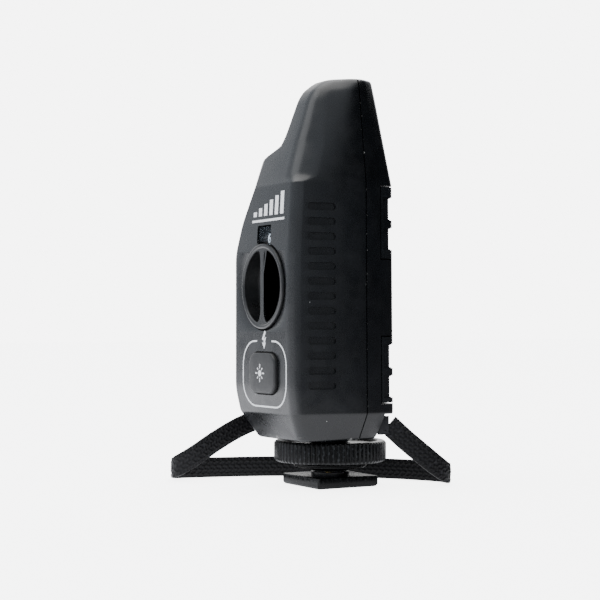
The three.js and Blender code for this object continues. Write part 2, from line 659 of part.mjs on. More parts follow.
// The strap leaves the near eyelet, falls behind the housing, turns at a fold, runs past the
// back of the foot, turns again, and comes back up to the far eyelet.
const STRAP_WIDTH = 5.4;
const STRAP_THICKNESS = 1.5;
const STRAP_ROUTE = [
  [14.6, 9.9, 15.6], [15.6, 13.2, 12.2], [16.6, 17, 9], [17.2, 21, 5.9], [16.4, 25, 3.6],
  [13.6, 27.8, 2.9], [9.2, 28.4, 2.8], [4, 26.4, 2.8], [-2.6, 22.6, 2.8], [-10, 17, 2.8],
  [-17.4, 10, 2.8], [-23.6, 2, 2.8], [-28.2, -7.4, 2.8], [-31.2, -17, 2.8], [-32.2, -25, 2.9],
  [-30.6, -30.4, 3.2], [-27.2, -30.8, 4.2], [-25, -27, 6.8], [-24.2, -21, 10.6], [-23.6, -14, 14.2],
  [-22.6, -7, 16.6], [-21.6, 0, 17.4], [-20.2, 5.6, 17.2], [-18.2, 9.6, 16.5], [-15.2, 10.4, 16.1],
];

/** A flat strap on edge: every section stands upright, across the route's own direction. */
function lanyardStrap() {
  const curve = new THREE.CatmullRomCurve3(STRAP_ROUTE.map((point) => new THREE.Vector3(...point)));
  const steps = 64;
  const outline = [[-0.5, 0.36], [-0.36, 0.5], [0.36, 0.5], [0.5, 0.36], [0.5, -0.36], [0.36, -0.5],
    [-0.36, -0.5], [-0.5, -0.36]];
  const rows = [];
  for (let step = 0; step <= steps; step += 1) {
    const centre = curve.getPointAt(step / steps);
    const forward = curve.getTangentAt(step / steps);
    const sideways = new THREE.Vector3(forward.y, -forward.x, 0).normalize();
    const upward = new THREE.Vector3().crossVectors(sideways, forward).normalize();
    rows.push(outline.map(([thick, wide]) => (
      centre.clone()
        .addScaledVector(sideways, thick * STRAP_THICKNESS)
        .addScaledVector(upward, wide * STRAP_WIDTH)
        .toArray()
    )));
  }
  return skin(rows);
}

// ---- assembly ----

const trigger = new THREE.Group();

function add(name, finish, manifold) {
  const mesh = new THREE.Mesh(geometryOf(manifold), new THREE.MeshStandardMaterial(FINISH[finish]));
  mesh.name = name;
  trigger.add(mesh);
}

add("front_shell", "shell", frontShell());
add("rear_shell", "shell", rearShell());
add("battery_door", "door", batteryDoor());
add("channel_window", "window", block([-3.3, -19.2, 62.8], [3.3, -18.4, 66.7]));
add("channel_dial", "control", channelDial());
add("channel_disc", "disc", channelDisc());
add("dial_shaft", "steel", dialShaft());
add("rotary_switch", "component", rotarySwitch());
add("test_button", "control", testButton());
add("test_switch", "component", testSwitch());
add("power_slider", "control", powerSlider());
add("power_switch", "component", powerSwitch());
add("status_led", "lamp", statusLed());
add("sync_jack", "component", syncJack());
add("usb_socket", "steel", usbSocket());
add("main_board", "board", mainBoard());
add("rf_shield", "steel", rfShield());
add("antenna_element", "board", antennaElement());
add("battery_tray", "tray", batteryTray());
SCREWS.forEach((screw, i) => add(`shell_screw_${i + 1}`, "steel", shellScrew(screw)));
BOARD_SCREWS.forEach((screw, i) => add(`board_screw_${i + 1}`, "steel", boardScrew(screw)));

// The cells stand head to tail, each with its nub on a flat plate and its flat end on a spring.
const PLATE_LOW = TRAY_BOTTOM + 1.2 + GAP;
const PLATE_HIGH = TRAY_TOP - 1.2 - GAP - 0.4;
const CELL_1_TOP = PLATE_HIGH - GAP - NUB_LENGTH;
const CELL_1_BOTTOM = CELL_1_TOP - CELL_LENGTH;
const CELL_2_BOTTOM = PLATE_LOW + 0.4 + GAP + NUB_LENGTH;
const CELL_2_TOP = CELL_2_BOTTOM + CELL_LENGTH;
add("battery_1", "cell", battery(CELL_X, CELL_1_BOTTOM, CELL_1_TOP - 0.1));
add("battery_2", "cell", battery(-CELL_X, CELL_2_BOTTOM, CELL_2_BOTTOM - NUB_LENGTH));
add("battery_spring_1", "steel", batterySpring(CELL_X, PLATE_LOW + 0.4, CELL_1_BOTTOM, true));
add("battery_spring_2", "steel", batterySpring(-CELL_X, CELL_2_TOP, PLATE_HIGH, false));
add("contact_plate_1", "steel", contactPlate(CELL_X - 4.5, CELL_X + 4.5, PLATE_HIGH));
add("contact_plate_2", "steel", contactPlate(-CELL_X - 4.5, -CELL_X + 4.5, PLATE_HIGH));
add("series_plate", "steel", contactPlate(-CELL_X - 4.5, CELL_X + 4.5, PLATE_LOW));

add("shoe_foot", "foot", footPlate());
add("foot_stem", "steel", footStem());
add("stem_nut", "steel", stemNut());
add("clamp_washer", "foot", clampWasher());
add("locking_ring", "ring", lockingRing());
add("contact_pin", "brass", contactPin());
add("contact_spring", "steel", contactSpring());
add("lanyard_bar_1", "steel", lanyardBar(1));
add("lanyard_bar_2", "steel", lanyardBar(-1));
add("lanyard_strap", "strap", lanyardStrap());

export default trigger;
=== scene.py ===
"""Looks of the wireless flash trigger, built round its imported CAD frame.

Lengths inside the functions are millimetres in the CAD frame. Meshes are written in metres.
"""

import math

import bpy
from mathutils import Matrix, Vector


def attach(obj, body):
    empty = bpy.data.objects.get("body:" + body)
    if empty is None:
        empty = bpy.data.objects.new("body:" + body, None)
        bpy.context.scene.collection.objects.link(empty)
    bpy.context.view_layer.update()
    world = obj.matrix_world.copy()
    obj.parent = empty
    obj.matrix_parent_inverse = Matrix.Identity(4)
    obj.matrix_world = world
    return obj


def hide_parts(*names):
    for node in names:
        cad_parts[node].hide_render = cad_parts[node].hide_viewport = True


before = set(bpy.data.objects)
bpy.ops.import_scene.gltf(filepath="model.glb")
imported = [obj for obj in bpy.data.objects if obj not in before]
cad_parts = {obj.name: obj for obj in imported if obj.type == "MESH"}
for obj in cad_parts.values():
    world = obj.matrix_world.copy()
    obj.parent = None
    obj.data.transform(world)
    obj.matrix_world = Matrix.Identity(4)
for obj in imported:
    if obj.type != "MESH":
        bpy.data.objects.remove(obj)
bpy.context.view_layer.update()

MM = 0.001
TAU = 2 * math.pi
BIG = 60  # larger than the object, for cutting boxes
GAP = 0.3  # between pieces that meet
SEAM_Y = 0.2  # plane where the two shells meet
FRONT_Y = -19.8  # the flat front face
BODY_BOTTOM = 12.4
CHAMFER_TOP = 19.3
CREASE_Z = 77  # where the flat front ends and the sloped top begins
CROWN_Z = 99.8  # where the antenna's rounded end begins
DOME_Z = 102.8  # where its last curve begins
BODY_TOP = 104.2


def new_object(name, data):
    """An object in the scene."""
    made = bpy.data.objects.new(name, data)
    bpy.context.scene.collection.objects.link(made)
    return made


# ---- camera ----

def add_camera():
    data = bpy.data.cameras.new("camera")
    data.sensor_width = 36
    data.lens = 87.6
    data.clip_start = 0.01
    camera = new_object("camera", data)
    camera.location = (0.3266, -0.1962, 0.0416)
    camera.rotation_euler = (math.radians(90.981), 0, math.radians(60.18))
    bpy.context.scene.camera = camera


add_camera()


# ---- meshes ----

CRISP_DEGREES = 32  # an edge that turns more than this stays crisp


def mesh_object(name, points, faces, sharp_degrees=CRISP_DEGREES):
    """A smooth-shaded object from points in millimetres, with its steeper edges kept crisp."""
    mesh = bpy.data.meshes.new(name)
    mesh.from_pydata([Vector(point) * MM for point in points], [], faces)
    mesh.validate()
    piece = new_object(name, mesh)
    shade(piece, sharp_degrees)
    return piece


def shade(piece, sharp_degrees=CRISP_DEGREES):
    for polygon in piece.data.polygons:
        polygon.use_smooth = True
    piece.data.set_sharp_from_angle(angle=math.radians(sharp_degrees))


def skin(name, rows, closed_rows=False, sharp_degrees=CRISP_DEGREES):
    """Skins closed loops of equally many points. The ends are capped, or the last row meets the first."""
    width = len(rows[0])
    faces = []
    count = len(rows)
    for row in range(count if closed_rows else count - 1):
        upper = ((row + 1) % count) * width
        lower = row * width
        for i in range(width):
            j = (i + 1) % width
            faces.append((lower + i, lower + j, upper + j, upper + i))
    if not closed_rows:
        faces.append(tuple(reversed(range(width))))
        faces.append(tuple(range((count - 1) * width, count * width)))
    points = [point for row in rows for point in row]
    return mesh_object(name, points, faces, sharp_degrees)


def block(low, high):
    (x0, y0, z0), (x1, y1, z1) = low, high
    loop = [(x0, y0), (x1, y0), (x1, y1), (x0, y1)]
    return skin("block", [[(x, y, z) for x, y in loop] for z in (z0, z1)])


def circle(radius, sides):
    """A circle's points, as [cosine, sine] pairs times the radius."""
    angles = [TAU * side / sides for side in range(sides)]
    return [(radius * math.cos(angle), radius * math.sin(angle)) for angle in angles]


def turned(name, profile, axis, sides, centre_z=0):
    """A closed ring or disc: [radius, place along the axis] points round its section, about Y or Z."""
    rows = []
    for c, s in circle(1, sides):
        if axis == "z":
            rows.append([(r * c, r * s, h) for r, h in profile])
        else:
            rows.append([(r * s, h, centre_z + r * c) for r, h in profile])
    return skin(name, rows, closed_rows=True)


def disc(axis, radius, start, end, centre, sides=96):
    """A cylinder from start to end along an axis."""
    cx, cy, cz = centre
    loops = []
    for height in (start, end):
        loop = []
        for c, s in circle(radius, sides):
            place = {"x": (height, cy + c, cz + s), "y": (cx + s, height, cz + c),
                     "z": (cx + c, cy + s, height)}
            loop.append(place[axis])
        loops.append(loop)
    return skin("disc", loops)


def baked_mesh(made):
    """A new mesh of an object as it is now, with its modifiers or its text worked out."""
    depsgraph = bpy.context.evaluated_depsgraph_get()
    return bpy.data.meshes.new_from_object(made.evaluated_get(depsgraph))


def apply_modifiers(piece):
    mesh = baked_mesh(piece)
    old = piece.data
    piece.modifiers.clear()
    piece.data = mesh
    bpy.data.meshes.remove(old)


def combine(piece, operation, others):
    """Boolean of a piece with others, which are used up."""
    for other in others:
        modifier = piece.modifiers.new("combine", "BOOLEAN")
        modifier.operation = operation
        modifier.solver = "MANIFOLD"
        modifier.object = other
    apply_modifiers(piece)
    for other in others:
        bpy.data.objects.remove(other)
    shade(piece)
    return piece


def both_sides(inner_x):
    """The X ranges that lie further out than a distance, on the far side and on the near side."""
    return (-BIG, -inner_x), (inner_x, BIG)


def cut(piece, *others):
    return combine(piece, "DIFFERENCE", others)


def common(piece, *others):
    return combine(piece, "INTERSECT", others)


def joined(piece, *others):
    return combine(piece, "UNION", others)


# ---- materials ----

def feed(tree, node, inputs):
    """Feeds a node's inputs with values, or with the outputs of other nodes."""
    for socket, value in inputs.items():
        if isinstance(value, bpy.types.NodeSocket):
            tree.links.new(value, node.inputs[socket])
        else:
            node.inputs[socket].default_value = value


def add_node(tree, kind, output, inputs, operation=None):
    """Adds a node, feeds it, and gives one of its outputs."""
    node = tree.nodes.new("ShaderNode" + kind)
    if operation:
        node.operation = operation
    feed(tree, node, inputs)
    return node.outputs[output]


def new_material(name):
    material = bpy.data.materials.new(name)
    material.use_nodes = True
    return material, material.node_tree, material.node_tree.nodes["Principled BSDF"]


def object_place(tree):
    """The place in the object's own metres."""
    return add_node(tree, "TexCoord", "Object", {})


def object_axis(tree, axis):
    return add_node(tree, "SeparateXYZ", axis, {"Vector": object_place(tree)})


def noise(tree, scale, detail, stretch=(1, 1, 1)):
    """Noise in the object's own metres, optionally stretched along an axis."""
    place = add_node(tree, "Mapping", "Vector", {"Vector": object_place(tree), "Scale": stretch})
    return add_node(tree, "TexNoise", "Fac", {"Vector": place, "Scale": scale, "Detail": detail})


def ramp(tree, source, low, high, low_value, high_value):
    """Maps a value from one range to another, clamped."""
    return add_node(tree, "MapRange", "Result", {"Value": source, "From Min": low, "From Max": high,
                                                 "To Min": low_value, "To Max": high_value})


def mix(tree, factor, first, second):
    """Mixes two colours, each a plain one or another node's output."""
    node = tree.nodes.new("ShaderNodeMix")
    node.data_type = "RGBA"
    a, b = (c if isinstance(c, bpy.types.NodeSocket) else (*c, 1) for c in (first, second))
    feed(tree, node, {"Factor": factor, "A": a, "B": b})
    return node.outputs["Result"]


def bump(tree, height, strength, distance):
    return add_node(tree, "Bump", "Normal", {"Height": height, "Strength": strength, "Distance": distance})


def multiplied(tree, first, second):
    return add_node(tree, "Math", "Value", {0: first, 1: second}, "MULTIPLY")


def at_edges(tree, low, high):
    """1 where the mesh is sharply convex, falling to 0 where it is flat or hollow."""
    return ramp(tree, add_node(tree, "NewGeometry", "Pointiness", {}), low, high, 0, 1)


def specks(tree, spacing, size, share):
    """1 in small round specks, at a share of the cells of a grid of that spacing, 0 elsewhere."""
    cells = tree.nodes.new("ShaderNodeTexVoronoi")
    feed(tree, cells, {"Vector": object_place(tree), "Scale": 1 / spacing})
    near = ramp(tree, cells.outputs["Distance"], size * 0.6, size, 1, 0)
    red = add_node(tree, "SeparateColor", "Red", {"Color": cells.outputs["Color"]})
    return multiplied(tree, near, ramp(tree, red, share, share + 0.001, 1, 0))


def housing_wear(tree):
    """1 where the housing is scuffed: patches along its bottom edge, and specks along its seam."""
    low = ramp(tree, object_axis(tree, "Z"), (BODY_BOTTOM + 0.2) * MM, (BODY_BOTTOM + 1.4) * MM, 1, 0)
    scuffs = ramp(tree, noise(tree, 420, 5), 0.6, 0.66, 0, 1)
    seam = {0: object_axis(tree, "Y"), 1: SEAM_Y * MM, 2: GAP * MM}
    by_seam = add_node(tree, "Math", "Value", seam, "COMPARE")
    chips = ramp(tree, noise(tree, 1500, 3), 0.67, 0.72, 0, 1)
    either = {0: multiplied(tree, low, scuffs), 1: multiplied(tree, by_seam, chips)}
    return add_node(tree, "Math", "Value", either, "MAXIMUM")


def plastic(name, colour, roughness, grain=0.25, dust=0.0, worn=False):
    """Moulded plastic: fine spark-eroded grain, slow colour and gloss variation, and a little dust."""
    material, tree, shader = new_material(name)
    light = tuple(min(1, c * 1.35 + 0.001) for c in colour)
    dark = tuple(c * 0.75 for c in colour)
    base = mix(tree, ramp(tree, noise(tree, 90, 4), 0.35, 0.65, 0, 1), dark, light)
    if dust:
        base = mix(tree, specks(tree, 0.0022, 0.07, dust), base, (0.3, 0.3, 0.29))
    if worn:
        base = mix(tree, housing_wear(tree), base, (0.2, 0.2, 0.19))
    smears = noise(tree, 260, 5)
    feed(tree, shader, {
        "Base Color": base,
        "Roughness": ramp(tree, smears, 0.3, 0.7, roughness - 0.05, roughness + 0.06),
        "Normal": bump(tree, noise(tree, 7500, 2), grain, 0.00003),
    })
    return material


def metal(name, colour, roughness, stretch=(1, 1, 1)):
    """Plated or turned metal, with fine tool marks and slight tarnish."""
    material, tree, shader = new_material(name)
    tarnish = ramp(tree, noise(tree, 400, 4), 0.35, 0.7, 0, 1)
    marks = noise(tree, 3000, 3, stretch)
    feed(tree, shader, {
        "Metallic": 1,
        "Base Color": mix(tree, tarnish, colour, tuple(c * 0.72 for c in colour)),
        "Roughness": ramp(tree, marks, 0.3, 0.7, roughness - 0.08, roughness + 0.1),
        "Normal": bump(tree, marks, 0.2, 0.00003),
    })
    return material


def worn_black(name, colour, worn_colour, roughness, wear):
    """Black finish, rubbed lighter in patches along its edges."""
    material, tree, shader = new_material(name)
    patches = noise(tree, 1500, 4)
    chosen = ramp(tree, patches, 0.62 - wear, 0.72 - wear, 0, 1)
    rubbed = multiplied(tree, at_edges(tree, 0.52, 0.6), chosen)
    feed(tree, shader, {
        "Base Color": mix(tree, rubbed, colour, worn_colour),
        "Roughness": ramp(tree, patches, 0.3, 0.7, roughness - 0.06, roughness + 0.08),
        "Specular IOR Level": 0.22,
        "Normal": bump(tree, noise(tree, 6000, 2), 0.25, 0.00003),
    })
    return material


def braid_material():
    """Black nylon braid with fine fibres, with a painted highlight on the crowns of the stitches and
    painted shade between them.
    """
    material, tree, shader = new_material("braid")
    fibres = noise(tree, 5200, 3, (1, 1, 3))
    crown_painted_highlight = mix(tree, fibres, (0.008, 0.008, 0.009), (0.022, 0.022, 0.025))
    feed(tree, shader, {
        # painted highlight and painted shade: pointiness picks the greyer colour on the stitch crowns and
        # near-black in the hollows between them
        "Base Color": mix(tree, at_edges(tree, 0.49, 0.56), (0.0003, 0.0003, 0.0004), crown_painted_highlight),
        "Roughness": 0.42,
        "Specular IOR Level": 0.2,
        "Normal": bump(tree, fibres, 0.5, 0.00006),
    })
    return material


def ink_material(name, colour):
    """Pad-printed ink, slightly uneven."""
    material, tree, shader = new_material(name)
    patches = noise(tree, 2600, 3)
    faded = tuple(c * 0.78 for c in colour)
    feed(tree, shader, {
        "Base Color": mix(tree, ramp(tree, patches, 0.4, 0.75, 0, 1), colour, faded),
        "Roughness": 0.6,
        "Normal": bump(tree, patches, 0.1, 0.00002),
    })
    return material


def lens_material(name, colour, alpha):
    """Clear moulded plastic with faint flow marks."""
    material, tree, shader = new_material(name)
    flow = noise(tree, 500, 2)
    feed(tree, shader, {
        "Base Color": mix(tree, flow, colour, tuple(c * 0.9 for c in colour)),
        "Roughness": ramp(tree, flow, 0.3, 0.7, 0.04, 0.12),
        "Alpha": alpha,
    })
    return material


def cell_material():
    """An AA cell's printed sleeve: dark, with a copper band at one end and a thin light line."""
    material, tree, shader = new_material("cell_sleeve")
    height = object_axis(tree, "Z")
    line = ramp(tree, height, 0.0578, 0.0579, 0, 1)
    band = ramp(tree, height, 0.0588, 0.059, 0, 1)
    sleeve = mix(tree, line, (0.012, 0.013, 0.016), (0.55, 0.53, 0.48))
    scratches = noise(tree, 1200, 4, (1, 1, 0.2))
    feed(tree, shader, {
        "Base Color": mix(tree, band, sleeve, (0.5, 0.23, 0.09)),
        "Roughness": ramp(tree, scratches, 0.3, 0.7, 0.25, 0.4),
        "Metallic": 0.6,
        "Normal": bump(tree, scratches, 0.1, 0.00003),
    })
    return material


def board_material():
    """Green solder mask over traces that show as slightly lighter tracks."""
    material, tree, shader = new_material("circuit_board")
    bricks = tree.nodes.new("ShaderNodeTexBrick")
    feed(tree, bricks, {
        "Vector": object_place(tree),
        "Scale": 240,
        "Mortar Size": 0.06,
        "Color1": (0.012, 0.075, 0.03, 1),
        "Color2": (0.016, 0.1, 0.04, 1),
        "Mortar": (0.03, 0.16, 0.06, 1),
    })
    feed(tree, shader, {
        "Base Color": bricks.outputs["Color"],
        "Roughness": ramp(tree, noise(tree, 2500, 2), 0.3, 0.7, 0.3, 0.45),
        "Normal": bump(tree, bricks.outputs["Fac"], 0.2, 0.00005),
    })
    return material


SHELL = plastic("shell_plastic", (0.0018, 0.0024, 0.0032), 0.27, grain=0.18, dust=0.05, worn=True)
# the door is lighter than the shell: painted light, standing in for the glints on the door
DOOR_PAINTED_GLINT = plastic("door_plastic_painted_glint", (0.004, 0.005, 0.006), 0.26, grain=0.2, dust=0.03)
CONTROL = plastic("control_plastic", (0.002, 0.0023, 0.0027), 0.3, grain=0.15, dust=0.02)
BUTTON = plastic("button_rubber", (0.0024, 0.0026, 0.003), 0.45, grain=0.3)
DISC = plastic("disc_plastic", (0.004, 0.004, 0.005), 0.6)
COMPONENT = plastic("component_plastic", (0.012, 0.012, 0.013), 0.45, grain=0.4)
TRAY = plastic("tray_plastic", (0.02, 0.021, 0.022), 0.5, grain=0.4)
RING = worn_black("ring_black", (0.001, 0.0011, 0.0013), (0.035, 0.037, 0.04), 0.3, 0.08)
FOOT = worn_black("foot_black", (0.0014, 0.0015, 0.0017), (0.05, 0.05, 0.054), 0.28, 0.04)
STEEL = metal("plated_steel", (0.56, 0.57, 0.58), 0.32)
SPRING = metal("spring_steel", (0.62, 0.62, 0.6), 0.28)
DARK_STEEL = metal("blackened_steel", (0.06, 0.062, 0.066), 0.38, (1, 1, 6))
BRASS = metal("turned_brass", (0.72, 0.5, 0.2), 0.3)
SCREEN = metal("tinned_screen", (0.66, 0.67, 0.68), 0.34)
BRAID = braid_material()
WHITE_INK = ink_material("white_ink", (0.78, 0.79, 0.8))
DIGIT_INK = ink_material("digit_ink", (0.75, 0.86, 0.95))
LENS = lens_material("window_lens", (0.2, 0.24, 0.28), 0.04)
LAMP = lens_material("lamp_lens", (0.5, 0.72, 0.55), 0.85)
CELL = cell_material()
BOARD = board_material()


def finish_piece(piece, material, body, slot, *replaced):
    """Gives a piece its material and its body, and hides the CAD nodes that it stands for. The slot is not
    used.
    """
    piece.data.materials.clear()
    piece.data.materials.append(material)
    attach(piece, body)
    if replaced:
        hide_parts(*replaced)


# ---- strap ----

STRAP_WIDTH = 5.4
STRAP_THICKNESS = 1.5
STRAP_ROUTE = [
    (14.2, 9.0, 16.2), (15.5, 13.0, 12.4), (16.6, 17, 9), (17.2, 21, 5.9), (16.4, 25, 3.6),
    (13.6, 27.8, 2.9), (9.2, 28.4, 2.8), (4, 26.4, 2.8), (-2.6, 22.6, 2.8), (-10, 17, 2.8),
    (-17.4, 10, 2.8), (-23.6, 2, 2.8), (-28.2, -7.4, 2.8), (-31.2, -17, 2.8), (-32.2, -25, 2.9),
    (-30.6, -30.4, 3.2), (-27.2, -30.8, 4.2), (-25, -27, 6.8), (-24.2, -21, 10.6), (-23.6, -14, 14.2),
    (-22.6, -7, 16.6), (-21.6, 0, 17.4), (-20.2, 5.6, 17.2), (-18.2, 9.6, 16.5), (-15.2, 10.4, 16.1),
]
BRAID_ROWS = 5  # rows of stitches across each broad face
STITCH_LENGTH = 1.7
STITCH_HEIGHT = 0.5
STRAP_STEP = 0.19  # between the mesh's sections
AROUND_STRAP = 64


def smooth_path(points, step):
    """Points at an even spacing on a smooth curve through some points."""
    route = [Vector(point) for point in points]
    route = [2 * route[0] - route[1], *route, 2 * route[-1] - route[-2]]
    fine = []
    for before, start, end, after in zip(route, route[1:], route[2:], route[3:]):
        for part in range(40):
            t = part / 40
            fine.append(0.5 * (
                2 * start + (end - before) * t + (2 * before - 5 * start + 4 * end - after) * t ** 2
                + (3 * start - before - 3 * end + after) * t ** 3
            ))
    fine.append(route[-2])
    travelled = [0.0]
    for a, b in zip(fine, fine[1:]):
        travelled.append(travelled[-1] + (b - a).length)
    count = round(travelled[-1] / step)
    placed, at = [], 0
    for index in range(count + 1):
        distance = travelled[-1] * index / count
        while at < len(fine) - 2 and travelled[at + 1] < distance:
            at += 1
        share = (distance - travelled[at]) / max(travelled[at + 1] - travelled[at], 1e-9)
        placed.append(fine[at].lerp(fine[at + 1], share))
    return placed, travelled[-1]


def flat_section(count):
    """The strap's section as [thickness share, width share] points."""
    points = []
    for index in range(count):
        angle = TAU * (index + 0.5) / count
        c, s = math.cos(angle), math.sin(angle)
        points.append((math.copysign(abs(c) ** 0.55, c) / 2, math.copysign(abs(s) ** 0.9, s) / 2))
    return points


def stitch(along, across):
    """Height of the braid: staggered, slanting stitches in rows."""
    place = (across + 0.5) * BRAID_ROWS
    row = math.floor(place)
    inside = place - row
    slant = 0.45 if row % 2 else -0.45
    phase = along / STITCH_LENGTH + 0.5 * (row % 2) + slant * (inside - 0.5)
    hump = abs(math.sin(math.pi * phase)) ** 0.6
    return STITCH_HEIGHT * (hump * math.sin(math.pi * inside) ** 0.5 - 0.75)


def lanyard():
    path, length = smooth_path(STRAP_ROUTE, STRAP_STEP)
    section = flat_section(AROUND_STRAP)
    rows = []
    for index, centre in enumerate(path):
        ahead = path[min(index + 1, len(path) - 1)] - path[max(index - 1, 0)]
        ahead.normalize()
        sideways = Vector((ahead.y, -ahead.x, 0)).normalized()
        upward = sideways.cross(ahead).normalized()
        to_end = min(index, len(path) - 1 - index) * STRAP_STEP
        thickness = STRAP_THICKNESS * (0.55 + 0.45 * min(1, to_end / 2.5)) - STITCH_HEIGHT
        row = []
        for thick, wide in section:
            lift = stitch(index * STRAP_STEP, wide) * (1 if abs(thick) > 0.25 else 0.3)
            outward = thick * thickness + math.copysign(lift, thick)
            row.append(centre + sideways * outward + upward * wide * STRAP_WIDTH)
        rows.append(row)
    strap = skin("lanyard_braid", rows, sharp_degrees=70)
    finish_piece(strap, BRAID, "housing", "strap", "lanyard_strap")


EYELET = {"x": 11.6, "y": 5.9, "bottom": 13.3, "top": 19.1, "bar_x": 12.9, "bar_y": 7.3}


def strap_loop(name, side, end):
    """The thin webbing that passes round an eyelet's bar and is sewn into the strap's end."""
    bar = Vector((side * EYELET["bar_x"], EYELET["bar_y"], 0))
    toward = Vector((end[0], end[1], 0)) - bar
    reach = toward.length
    toward.normalize()
    across = Vector((-toward.y, toward.x, 0))
    inner, thickness = 0.85, 0.4
    outlines = []
    for radius in (inner, inner + thickness):
        outline = []
        for index in range(25):
            angle = math.pi * (0.5 + index / 24)
            outline.append(bar + toward * radius * math.cos(angle) + across * radius * math.sin(angle))
        tail = radius - inner + 0.12
        outline.append(bar + toward * reach * 0.6 - across * (tail + 0.15))
        outline.append(bar + toward * reach - across * tail)
        outline.append(bar + toward * reach + across * tail)
        outline.append(bar + toward * reach * 0.6 + across * (tail + 0.15))
        outlines.append(outline)
    middle = end[2]
    loops = []
    for height in (-2.2, -2.05, 2.05, 2.2):
        trim = 0.12 if abs(height) > 2.1 else 0
        loops.append([outlines[1][i].lerp(outlines[0][i], trim) + Vector((0, 0, middle + height))
                      for i in range(len(outlines[1]))])
    solid = skin(name, loops)
    hole = skin("hole", [[p + Vector((0, 0, z)) for p in outlines[0]] for z in (0, 30)])
    cut(solid, hole)
    finish_piece(solid, BRAID, "housing", "strap")


lanyard()
strap_loop("lanyard_loop_1", 1, STRAP_ROUTE[0])
strap_loop("lanyard_loop_2", -1, STRAP_ROUTE[-1])


# ---- the housing's form ----

WALL = 1.6
DOOR_WALL = 1.7
DOOR_EDGE_Y, DOOR_BOTTOM, DOOR_TOP = 4.9, 22, 76.6
# the rear shell reaches into the door's two sides with a tongue
TONGUE_X, TONGUE_BACK_Y, TONGUE_BOTTOM, TONGUE_TOP = 13.4, 8.3, 38.6, 58.4
POCKETS = [(68.4, 73.8), (60.9, 66.1), (30.9, 36.5), (23.4, 28.6)]  # each one's bottom and top, in the door
POCKET_X = 11.5  # where they start, on both sides

# where each edge of the housing's section lies at each height
PROFILE = {
    "front": [
        (BODY_BOTTOM, -15.4), (CHAMFER_TOP, -19.2), (25, FRONT_Y), (60, FRONT_Y), (CREASE_Z, -18.9),
        (CROWN_Z, -11.3), (DOME_Z, -9), (BODY_TOP, -5.5),
    ],
    "near_front": [
        (BODY_BOTTOM, 11.8), (CHAMFER_TOP, 14.8), (CREASE_Z, 14.8), (CROWN_Z, 11.6), (DOME_Z, 10.8),
        (BODY_TOP, 8.5),
    ],
    "near_seam": [
        (BODY_BOTTOM, 14.2), (CHAMFER_TOP, 18.2), (CREASE_Z, 17.7), (CROWN_Z, 15.2), (DOME_Z, 14.7),
        (BODY_TOP, 14),
    ],
    "near_back": [
        (BODY_BOTTOM, 12.6), (CHAMFER_TOP, 16.8), (CREASE_Z, 16.2), (CROWN_Z, 12), (BODY_TOP, 11.2),
    ],
    "back": [(BODY_BOTTOM, 6), (CHAMFER_TOP, 9.4), (CREASE_Z, 9.4), (CROWN_Z, 6.6), (BODY_TOP, 6)],
    "far_back": [
        (BODY_BOTTOM, -12.6), (CHAMFER_TOP, -16.8), (76, -16.8), (80.5, -14.6), (84.5, -10.6), (87, -6),
        (89, -3.4), (92, -2.2), (CROWN_Z, -1.2), (DOME_Z, 0), (BODY_TOP, 2.6),
    ],
    "far_seam": [
        (BODY_BOTTOM, -14.2), (CHAMFER_TOP, -18.2), (76, -18.2), (80.5, -16), (84.5, -12), (87, -7.4),
        (89, -4), (92, -2.6), (CROWN_Z, -1.6), (DOME_Z, -0.4), (BODY_TOP, 2.2),
    ],
    "bevel_side_x": [
        (BODY_BOTTOM, -12.4), (CHAMFER_TOP, -15.8), (25, -17.2), (60, -17.2), (68, -16.4),
        (CREASE_Z, -13.4), (81, -12.4), (84.8, -11.4), (86, -8), (87.2, -3.6), (90, -2),
        (CROWN_Z, -0.8), (DOME_Z, 0.6), (BODY_TOP, 3.2),
    ],
    "bevel_depth": [
        (BODY_BOTTOM, 2), (60, 1.6), (68, 2.4), (CREASE_Z, 3.6), (84.8, 2.6), (87.2, 2.8),
        (BODY_TOP, 2.4),
    ],
    "bevel_front_x": [
        (BODY_BOTTOM, -10.4), (CHAMFER_TOP, -13.8), (25, -15.4), (60, -15.4), (68, -12.2),
        (CREASE_Z, -6.2), (84.8, -5.6), (86, -2), (87.2, 1.4), (90, 2.5), (CROWN_Z, 3.6), (DOME_Z, 4.2),
        (BODY_TOP, 5),
    ],
}
NEAR_FRONT_RADIUS = [(CREASE_Z, 3), (CREASE_Z + 1.5, 7)]  # tight on the body, broad on the antenna
OTHER_RADII = [18, 2.6, 2.6, 18, 1.6, 1.6]
SIDE_SWEEP = 13  # how far forward of the seam the near side starts to curve
ARC_STEPS = 8


def along(profile, z):
    """Reads a profile at a height."""
    if z <= profile[0][0]:
        return profile[0][1]
    for (z0, v0), (z1, v1) in zip(profile, profile[1:]):
        if z <= z1:
            return v0 + (v1 - v0) * (z - z0) / (z1 - z0)
    return profile[-1][1]


def rounding(z):
    """How far up and down a profile is averaged: little at the creases, the shoulder and the ends."""
    to_crease = min(abs(z - crisp) for crisp in (CHAMFER_TOP, CREASE_Z, 85, 86, 87))
    wanted = 0.35 + 0.45 * max(0, to_crease - 0.5)
    return max(0, min(1.8, wanted, z - BODY_BOTTOM, BODY_TOP - z))


def softened(profile, z):
    reach = rounding(z)
    return sum(along(profile, z + reach * step / 4) for step in range(-4, 5)) / 9


def inset_polygon(corners, distance):
    """Moves every edge of an anticlockwise polygon inwards."""
    edges = []
    for corner, following in zip(corners, corners[1:] + corners[:1]):
        direction = (following - corner).normalized()
        inward = Vector((-direction.y, direction.x))
        edges.append((corner + inward * distance, direction))
    moved = []
    for (start0, way0), (start1, way1) in zip(edges[-1:] + edges[:-1], edges):
        across = way0.x * way1.y - way0.y * way1.x
        between = start1 - start0
        travel = (between.x * way1.y - between.y * way1.x) / across
        moved.append(start0 + way0 * travel)
    return moved


